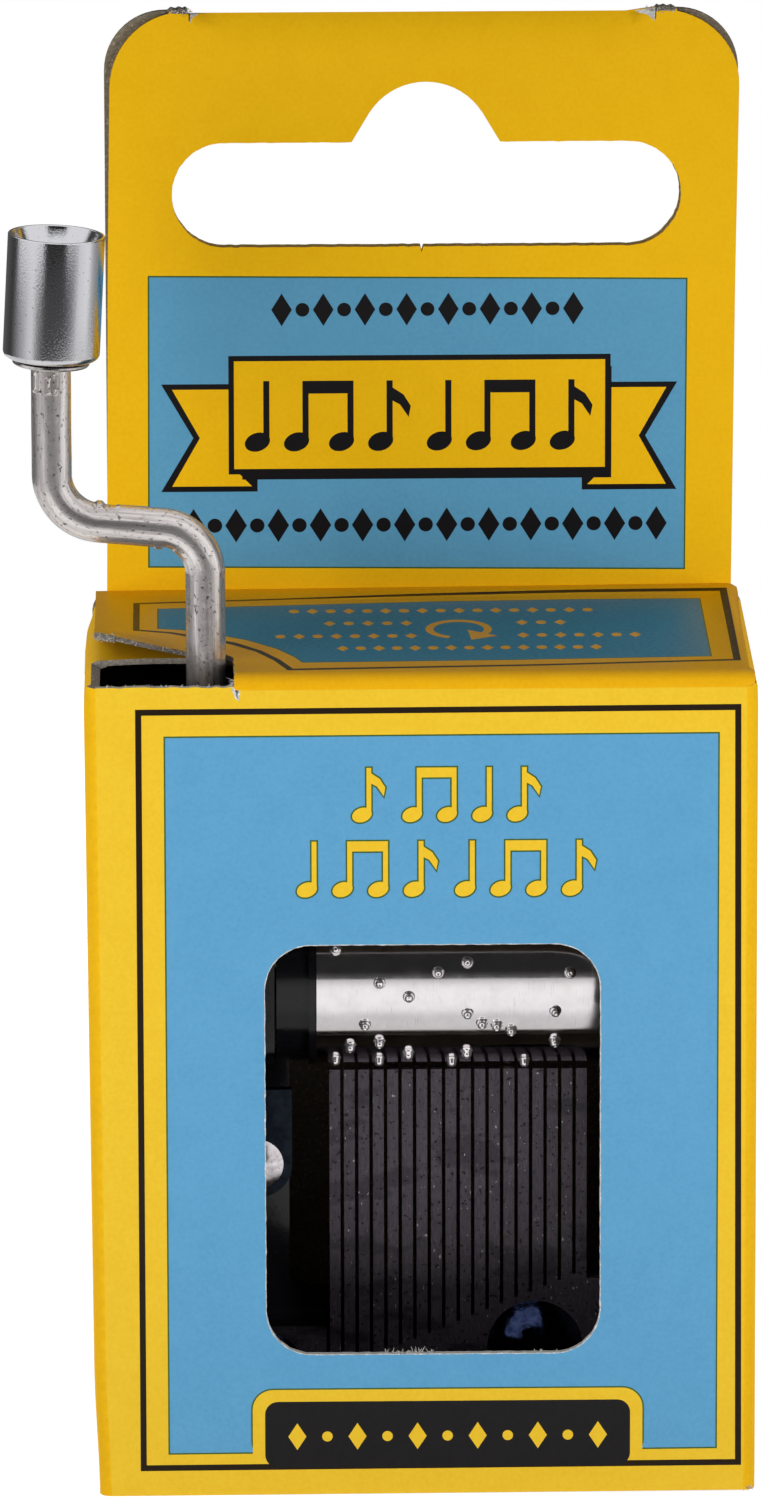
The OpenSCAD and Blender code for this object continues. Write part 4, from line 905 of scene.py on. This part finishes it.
dress(mouldedAbs(), "movement_frame", "cylinder_hub", "cylinder_end_cap", "worm_wheel")
dress(combSteel(), "comb")
dress(finishes["solder"], "bass_weights")
dress(finishes["zinc"], "comb_screws")
dress(finishes["bracket"], "crank_bracket")
dress(finishes["rivet"], "bracket_rivets", "arbor_clip")
dress(finishes["brass"], "crankshaft_bushes", "arbor_bushes")
dress(finishes["shaft"], "cylinder_arbor", "worm")
print("movement dressed")


# turned parts, as smooth lathed surfaces

def lathe(bm, profile, matrix, segments, skin=0):  # profile is (radius, height) about the matrix's z axis
    rings = []
    for radius, height in profile:
        if radius < 1e-6:       # a point on the axis
            rings.append([bm.verts.new(matrix @ Vector((0, 0, height)) * mm)])
            continue
        spots = disc(0, 0, radius, segments)
        rings.append([bm.verts.new(matrix @ Vector((x, y, height)) * mm) for x, y in spots])
    for low, high in zip(rings, rings[1:]):
        for i in range(segments):
            j = (i + 1) % segments
            corners = [low[i % len(low)], low[j % len(low)], high[j % len(high)], high[i % len(high)]]
            bm.faces.new(list(dict.fromkeys(corners))).material_index = skin


def closedRing(profile):  # the profile of a hollow part, back to its first point
    return profile + profile[:1]


def finishTurned(bm, name, materials, body, replaced):
    bmesh.ops.remove_doubles(bm, verts=bm.verts, dist=1e-8)
    sharp = math.radians(38)
    for face in bm.faces:
        face.smooth = True
    for edge in bm.edges:
        if len(edge.link_faces) == 2 and edge.calc_face_angle(0) > sharp:
            edge.smooth = False
    piece = finishMesh(bm, name, materials)
    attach(piece, body)
    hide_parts(*replaced)


# the pinned drum

drum = {
    "z": 34.5, "x0": -7.375, "x1": 13.875, "r": 7.2, "wall": 0.8, "rim": 0.08,
    "beat": 5.0, "toothOne": -6.375, "pitch": 1.0,     # a beat in degrees, the first tooth and the next in mm
    "pinAt": 0.375, "pinR": 0.33, "pinH": 0.5,
}
# tooth and beat of the pins: on the side in view, and a plain pattern on the rest
frontNotes = ((1, 3.9), (10, 2.4), (8, 1.3), (17, 1.2), (4, 0.2), (6, -1.4), (16, -3.2), (10, -3.4),
              (11, -4.7), (12, -5.0), (3, -4.8), (13, -5.7), (4, -7.5), (16, -7.5), (2, -8.2), (10, -9.6),
              (6, -9.8), (1, -11.3), (4, -11.6), (9, -12.0), (14, -12.4))
backNotes = [(1 + (i * 7) % 18, 8 + 1.5 * i) for i in range(31)]


def makeDrum():
    bm = bmesh.new()
    axis = Matrix.Translation((0, 0, drum["z"])) @ Matrix.Rotation(math.pi / 2, 4, "Y")
    outer, inner, rim = drum["r"], drum["r"] - drum["wall"], drum["rim"]
    lathe(bm, closedRing([(outer - rim, drum["x0"]), (outer, drum["x0"] + rim), (outer, drum["x1"] - rim),
                          (outer - rim, drum["x1"]), (inner, drum["x1"]), (inner, drum["x0"])]), axis, 192)
    r, h = drum["pinR"], drum["pinH"]
    pin = [(r + 0.14, -0.04), (r + 0.05, 0.03), (r, 0.12)] + arcTo(0, h - 0.25, r, 12, 68, 6) + [(0, h)]
    for tooth, beats in (*frontNotes, *backNotes):
        up = math.radians(beats * drum["beat"])
        out = Vector((0, -math.cos(up), math.sin(up)))
        x = drum["toothOne"] + (tooth - 1) * drum["pitch"] + drum["pinAt"]
        foot = Matrix.Translation(Vector((x, 0, drum["z"])) + out * drum["r"])
        lathe(bm, pin, foot @ out.to_track_quat("Z", "X").to_matrix().to_4x4(), 20, skin=1)
    finishTurned(bm, "pinned_drum", [nickel, finishes["pin"]], "cylinder", ["pinned_cylinder"])


makeDrum()
print("drum made")


# the bent crank

crank = {
    "x": -14.7, "y": -8.3, "r": 1.35, "footZ": 24.8, "shaftTop": 63.6, "stemTop": 77.978,
    "lowerR": 3.2, "upperR": 3.4, "turn": 85.0, "arm": 4.292,     # the two bends and the arm between them
    "crimped": 2.2,                                               # length of the stem's crimped end
    "lean": 3.0, "knobFoot": 78.049, "pinR": 1.05, "headR": 1.9, "headZ": 6.49,
}
marks = (      # where along the rod, angle around it, half length, half width, height
    {"from": "armStart", "at": 0.1, "angle": 180, "long": 0.35, "wide": 45, "high": 0.13},
    {"from": "armStart", "at": -0.9, "angle": 180, "long": 0.7, "wide": 60, "high": -0.08},
    {"from": "armEnd", "at": 0.1, "angle": 0, "long": 0.4, "wide": 55, "high": 0.16},
    {"from": "armEnd", "at": -0.8, "angle": 0, "long": 0.5, "wide": 50, "high": -0.07},
    {"from": "end", "at": -0.95, "angle": 213, "long": 0.7, "wide": 9, "high": 0.1},
    {"from": "end", "at": -1.55, "angle": 226, "long": 0.14, "wide": 14, "high": 0.16},
    {"from": "end", "at": -1.15, "angle": 262, "long": 0.62, "wide": 6, "high": 0.18},
    {"from": "end", "at": -0.9, "angle": 284, "long": 0.7, "wide": 5, "high": 0.14},
    {"from": "end", "at": -1.6, "angle": 272, "long": 0.16, "wide": 16, "high": 0.14},
    {"from": "end", "at": -1.0, "angle": 60, "long": 0.7, "wide": 10, "high": 0.2},
)


def rodPath():  # points (place, direction, length so far) and the lengths where the arm starts and ends
    turn = math.radians(crank["turn"])
    x, z, length, heading = crank["x"], crank["footZ"], 0.0, 0.0       # heading is the lean to the left
    path, named = [], {}

    def run(long, bend, steps):  # one more length of rod, straight or bent
        nonlocal x, z, length, heading
        by, turned = long / steps, bend / steps
        for _ in range(steps):
            middle = heading + turned / 2
            chord = by * (math.sin(turned / 2) / (turned / 2) if turned else 1.0)
            x, z = x - chord * math.sin(middle), z + chord * math.cos(middle)
            heading += turned
            length += by
            ahead = Vector((-math.sin(heading), 0, math.cos(heading)))
            path.append((Vector((x, crank["y"], z)), ahead, length))

    run(0.0, 0.0, 1)
    run(crank["shaftTop"] - crank["footZ"], 0.0, 60)
    run(crank["lowerR"] * turn, turn, 34)
    named["armStart"] = length
    run(crank["arm"], 0.0, 40)
    named["armEnd"] = length
    run(crank["upperR"] * turn, -turn, 34)
    run(crank["stemTop"] - z - crank["crimped"], 0.0, 14)
    run(crank["crimped"], 0.0, 40)
    named["end"] = length
    return path, named


def makeRod():  # returns the axis of the knob
    path, named = rodPath()
    bm = bmesh.new()
    drawn = bm.verts.layers.float_vector.new("drawn")
    sides = 96
    rings = []
    for spot, ahead, length in path:
        sideways = Vector((ahead.z, 0, -ahead.x))
        ring = []
        for i in range(sides):
            degrees = 360 * i / sides
            a = math.radians(degrees)
            r = crank["r"] + 0.012 * noise.noise(Vector((math.cos(a), length * 0.4, 1.0)))
            for mark in marks:
                along = abs(length - named[mark["from"]] - mark["at"]) / mark["long"]
                around = abs((degrees - mark["angle"] + 180) % 360 - 180) / mark["wide"]
                if along < 1 and around < 1:
                    r += mark["high"] * ease(3 * (1 - along)) * ease(2 * (1 - around))
            out = math.cos(a) * sideways + math.sin(a) * Vector((0, 1, 0))
            vert = bm.verts.new((spot + r * out) * mm)
            vert[drawn] = (crank["r"] * math.cos(a), crank["r"] * math.sin(a), length)
            ring.append(vert)
        rings.append(ring)
    for low, high in zip(rings, rings[1:]):
        for i in range(sides):
            j = (i + 1) % sides
            bm.faces.new((low[i], low[j], high[j], high[i]))
    bm.faces.new(rings[0][::-1])
    bm.faces.new(rings[-1])
    # the pin that holds the knob, and its riveted head in the knob's well
    lean = Matrix.Rotation(math.radians(crank["lean"]), 4, "Y")
    knobAxis = Matrix.Translation((path[-1][0].x, crank["y"], crank["knobFoot"])) @ lean
    r, headR, headZ = crank["pinR"], crank["headR"], crank["headZ"]
    lathe(bm, [(0, -0.6), (r, -0.6), (r, headZ), (headR, headZ), (headR, headZ + 0.26)]
          + arcTo(headR - 0.3, headZ + 0.3, 0.3, 0, 90, 5) + [(0.5, 7.12), (0, 7.05)], knobAxis, 64)
    finishTurned(bm, "bent_crank_rod", [wireSteel], "crank", ["crank_rod"])
    return knobAxis


# the knob: a turned cup with a hollow, dished top
knob = {"r": 3.27, "foot": 0.47, "len": 8.5, "bore": 1.09, "rim": 0.1, "well": 2.2, "dish": 1.6, "cup": 2.6}
washer = [(crank["pinR"], 0.0), (2.3, 0.0), (2.52, 0.05), (2.6, 0.16), (2.58, 0.28), (2.45, 0.35),
          (crank["pinR"], 0.35)]


def makeKnob(knobAxis):
    r, top, foot, rim = knob["r"], knob["foot"] + knob["len"], knob["foot"], knob["rim"]
    bore, well, dish, cup = (knob[key] for key in ("bore", "well", "dish", "cup"))
    profile = [(bore, foot), (r - 0.6, foot)] + arcTo(r - 0.5, foot + 0.5, 0.5, -80, 0, 8)
    profile += arcTo(r - rim, top - rim, rim, 0, 90, 5) + arcTo(r - 2 * rim, top - rim, rim, 90, 180, 5)
    for k in [i / 8 for i in range(1, 9)]:       # the dish falls in a nearly straight cone to the well
        profile.append((r - 0.3 - (r - 0.42 - well) * (k - 0.06 * math.sin(k * math.pi)),
                        top - rim - (dish - 0.2) * k))
    profile += [(well, top - dish), (well, top - cup), (bore, top - cup)]
    bm = bmesh.new()
    lathe(bm, closedRing(profile), knobAxis, 160)
    finishTurned(bm, "turned_knob", [chrome], "knob", ["knob"])
    bm = bmesh.new()
    lathe(bm, closedRing(washer), knobAxis, 96)
    finishTurned(bm, "pressed_washer", [finishes["washer"]], "crank", ["knob_washer"])


makeKnob(makeRod())
print("crank and knob made")


# floor, light and camera

studio = {      # in metres, watts and degrees
    "floorR": 0.23, "floorZ": -0.00002, "floorHex": "#d8d8d7",
    "floorLift": 0.8, "liftAway": (0.07, 0.16),                   # plain white away from the shadow
    "floorMirrored": (0.3, 0.5), "mirroredAway": (0.031, 0.041),  # greyer in mirrors, most near the carton
    "ambient": 0.07, "aimZ": 0.044,
    "key": {"azimuth": 45, "away": 0.185, "z": 0.068, "size": 0.11, "power": 0.098, "spread": 120},
    "back": {"azimuth": 140, "away": 0.45, "z": 0.16, "size": 0.3, "power": 0.8, "spread": 180},
}
# what mirrors see, as greys by azimuth from the front: low on the left and on the right a dark room in front,
# a soft box to the side and a dim room behind, and above them a bright ring that is open at the front
roomGreys = {
    "left": ((0, 0.08), (20, 0.09), (38, 0.34), (49, 0.85), (60, 0.78), (71, 0.56), (97, 0.2), (115, 0.05),
             (168, 0.12)),
    "right": ((0, 0.08), (25, 0.09), (40, 0.23), (50, 0.46), (60, 0.84), (86, 1.0), (97, 0.6), (113, 0.36),
              (133, 0.05), (168, 0.12)),
    "above": ((0, 0.02), (22, 0.02), (31, 1.0), (92, 1.0), (104, 0.05), (168, 0.12)),
}
white = (1, 1, 1, 1)
# the camera in mm and degrees, its focal length in pixels of a frame this tall
eye = {"at": (-16.4, -807.0, 247.6), "pitch": 13.81, "yaw": 0.97, "roll": -0.15, "focal": 12142, "tall": 1500,
       "sensor": 36.0}


# white card, plain: it shows as white and keeps the shadow
def layFloor():
    material = bpy.data.materials.new("white_card_floor")
    material.use_nodes = True
    tree = material.node_tree
    tree.nodes.clear()
    rays = addNode(tree, "ShaderNodeLightPath")
    seen = maths(tree, "MAXIMUM", rays.outputs["Is Camera Ray"],
                 maths(tree, "MAXIMUM", rays.outputs["Is Glossy Ray"], rays.outputs["Is Transmission Ray"]))
    card = addNode(tree, "ShaderNodeBsdfDiffuse", None, {"Color": hexColour(studio["floorHex"])})
    place = addNode(tree, "ShaderNodeTexCoord").outputs["Object"]
    away = addNode(tree, "ShaderNodeVectorMath", {"operation": "LENGTH"}, {0: place}).outputs["Value"]
    mirroredLevel = remap(tree, away, *studio["mirroredAway"], *studio["floorMirrored"])
    lifted = remap(tree, away, *studio["liftAway"], studio["floorLift"], 1.0)
    level = addNode(tree, "ShaderNodeMix", {"data_type": "FLOAT"},
                    {0: rays.outputs["Is Glossy Ray"], 2: lifted, 3: mirroredLevel}).outputs[0]
    lift = addNode(tree, "ShaderNodeEmission", None,
                   {"Color": white, "Strength": maths(tree, "MULTIPLY", seen, level)})
    both = addNode(tree, "ShaderNodeAddShader", None, {0: card.outputs[0], 1: lift.outputs[0]})
    addNode(tree, "ShaderNodeOutputMaterial", None, {"Surface": both.outputs[0]})
    bm = bmesh.new()
    bm.faces.new([bm.verts.new((x, y, studio["floorZ"])) for x, y in disc(0, 0, studio["floorR"], 96)])
    floor = finishMesh(bm, "floor", [material])


def hangWorld():
    world = bpy.data.worlds.new("studio")
    bpy.context.scene.world = world
    world.use_nodes = True
    world.cycles.sampling_method = "NONE"
    tree = world.node_tree
    tree.nodes.clear()
    rays = addNode(tree, "ShaderNodeLightPath")
    towards = addNode(tree, "ShaderNodeTexCoord").outputs["Generated"]
    level = addNode(tree, "ShaderNodeVectorMath", {"operation": "MULTIPLY"}, {0: towards, 1: (1, 1, 0)})
    around = addNode(tree, "ShaderNodeVectorMath", {"operation": "NORMALIZE"}, {0: level.outputs[0]})
    flatWay = addNode(tree, "ShaderNodeSeparateXYZ", None, {0: around.outputs[0]}).outputs
    height = addNode(tree, "ShaderNodeSeparateXYZ", None, {0: towards}).outputs["Z"]
    rooms = []
    for levels in roomGreys.values():
        room = addNode(tree, "ShaderNodeValToRGB", None, {0: remap(tree, flatWay["Y"], -1, 1)})
        ramp = room.color_ramp
        while len(ramp.elements) < len(levels):
            ramp.elements.new(0.5)
        for element, (azimuth, grey) in zip(ramp.elements, levels):
            element.position = (1 - math.cos(math.radians(azimuth))) / 2
            element.color = (grey, grey, grey, 1)
        rooms.append(room.outputs[0])
    both = blendColour(tree, remap(tree, flatWay["X"], -0.05, 0.05), *rooms[:2])
    both = blendColour(tree, remap(tree, height, -0.14, 0.0, smooth=True), both, rooms[2])
    mirror = blendColour(tree, remap(tree, height, 0.48, 0.62, smooth=True), both, white)
    ambient = studio["ambient"]
    colour = blendColour(tree, rays.outputs["Is Glossy Ray"], (ambient, ambient, ambient, 1), mirror)
    seen = maths(tree, "MAXIMUM", rays.outputs["Is Camera Ray"], rays.outputs["Is Transmission Ray"])
    colour = blendColour(tree, seen, colour, white)
    sky = addNode(tree, "ShaderNodeBackground", None, {"Color": colour, "Strength": 1.0})
    addNode(tree, "ShaderNodeOutputWorld", None, {"Surface": sky.outputs[0]})


def hangLamp(name, azimuth, away, z, size, power, spread):
    lamp = bpy.data.lights.new(name, "AREA")
    lamp.shape = "SQUARE"
    lamp.size = size
    lamp.energy = power
    lamp.spread = math.radians(spread)
    holder = bpy.data.objects.new(name, lamp)
    bpy.context.scene.collection.objects.link(holder)
    a = math.radians(azimuth)
    holder.location = (away * math.sin(a), -away * math.cos(a), z)
    aim = Vector((0, 0, studio["aimZ"])) - holder.location
    holder.rotation_mode = "QUATERNION"
    holder.rotation_quaternion = aim.to_track_quat("-Z", "Y")
    holder.visible_camera = False
    holder.visible_glossy = False


def setCamera():
    lens = bpy.data.cameras.new("camera")
    lens.sensor_width = eye["sensor"]
    lens.lens = eye["focal"] * eye["sensor"] / eye["tall"]
    lens.clip_start = 0.05
    lens.clip_end = 20
    camera = bpy.data.objects.new("camera", lens)
    bpy.context.scene.collection.objects.link(camera)
    pitch, yaw, roll = (math.radians(eye[key]) for key in ("pitch", "yaw", "roll"))
    forward = Vector((math.sin(yaw) * math.cos(pitch), math.cos(yaw) * math.cos(pitch), -math.sin(pitch)))
    level = Vector((math.cos(yaw), -math.sin(yaw), 0))
    above = level.cross(forward)
    right = level * math.cos(roll) + above * math.sin(roll)
    up = above * math.cos(roll) - level * math.sin(roll)
    turned = Matrix((right, up, -forward)).transposed().to_4x4()
    camera.matrix_world = Matrix.Translation(Vector(eye["at"]) * mm) @ turned
    bpy.context.scene.camera = camera


layFloor()
hangWorld()
for hand, word in ((-1, "left"), (1, "right")):
    for kind in ("key", "back"):
        lamp = dict(studio[kind])
        hangLamp(kind + "_" + word, hand * lamp.pop("azimuth"), **lamp)
setCamera()
bpy.context.scene.view_settings.view_transform = "Standard"
print("studio ready")
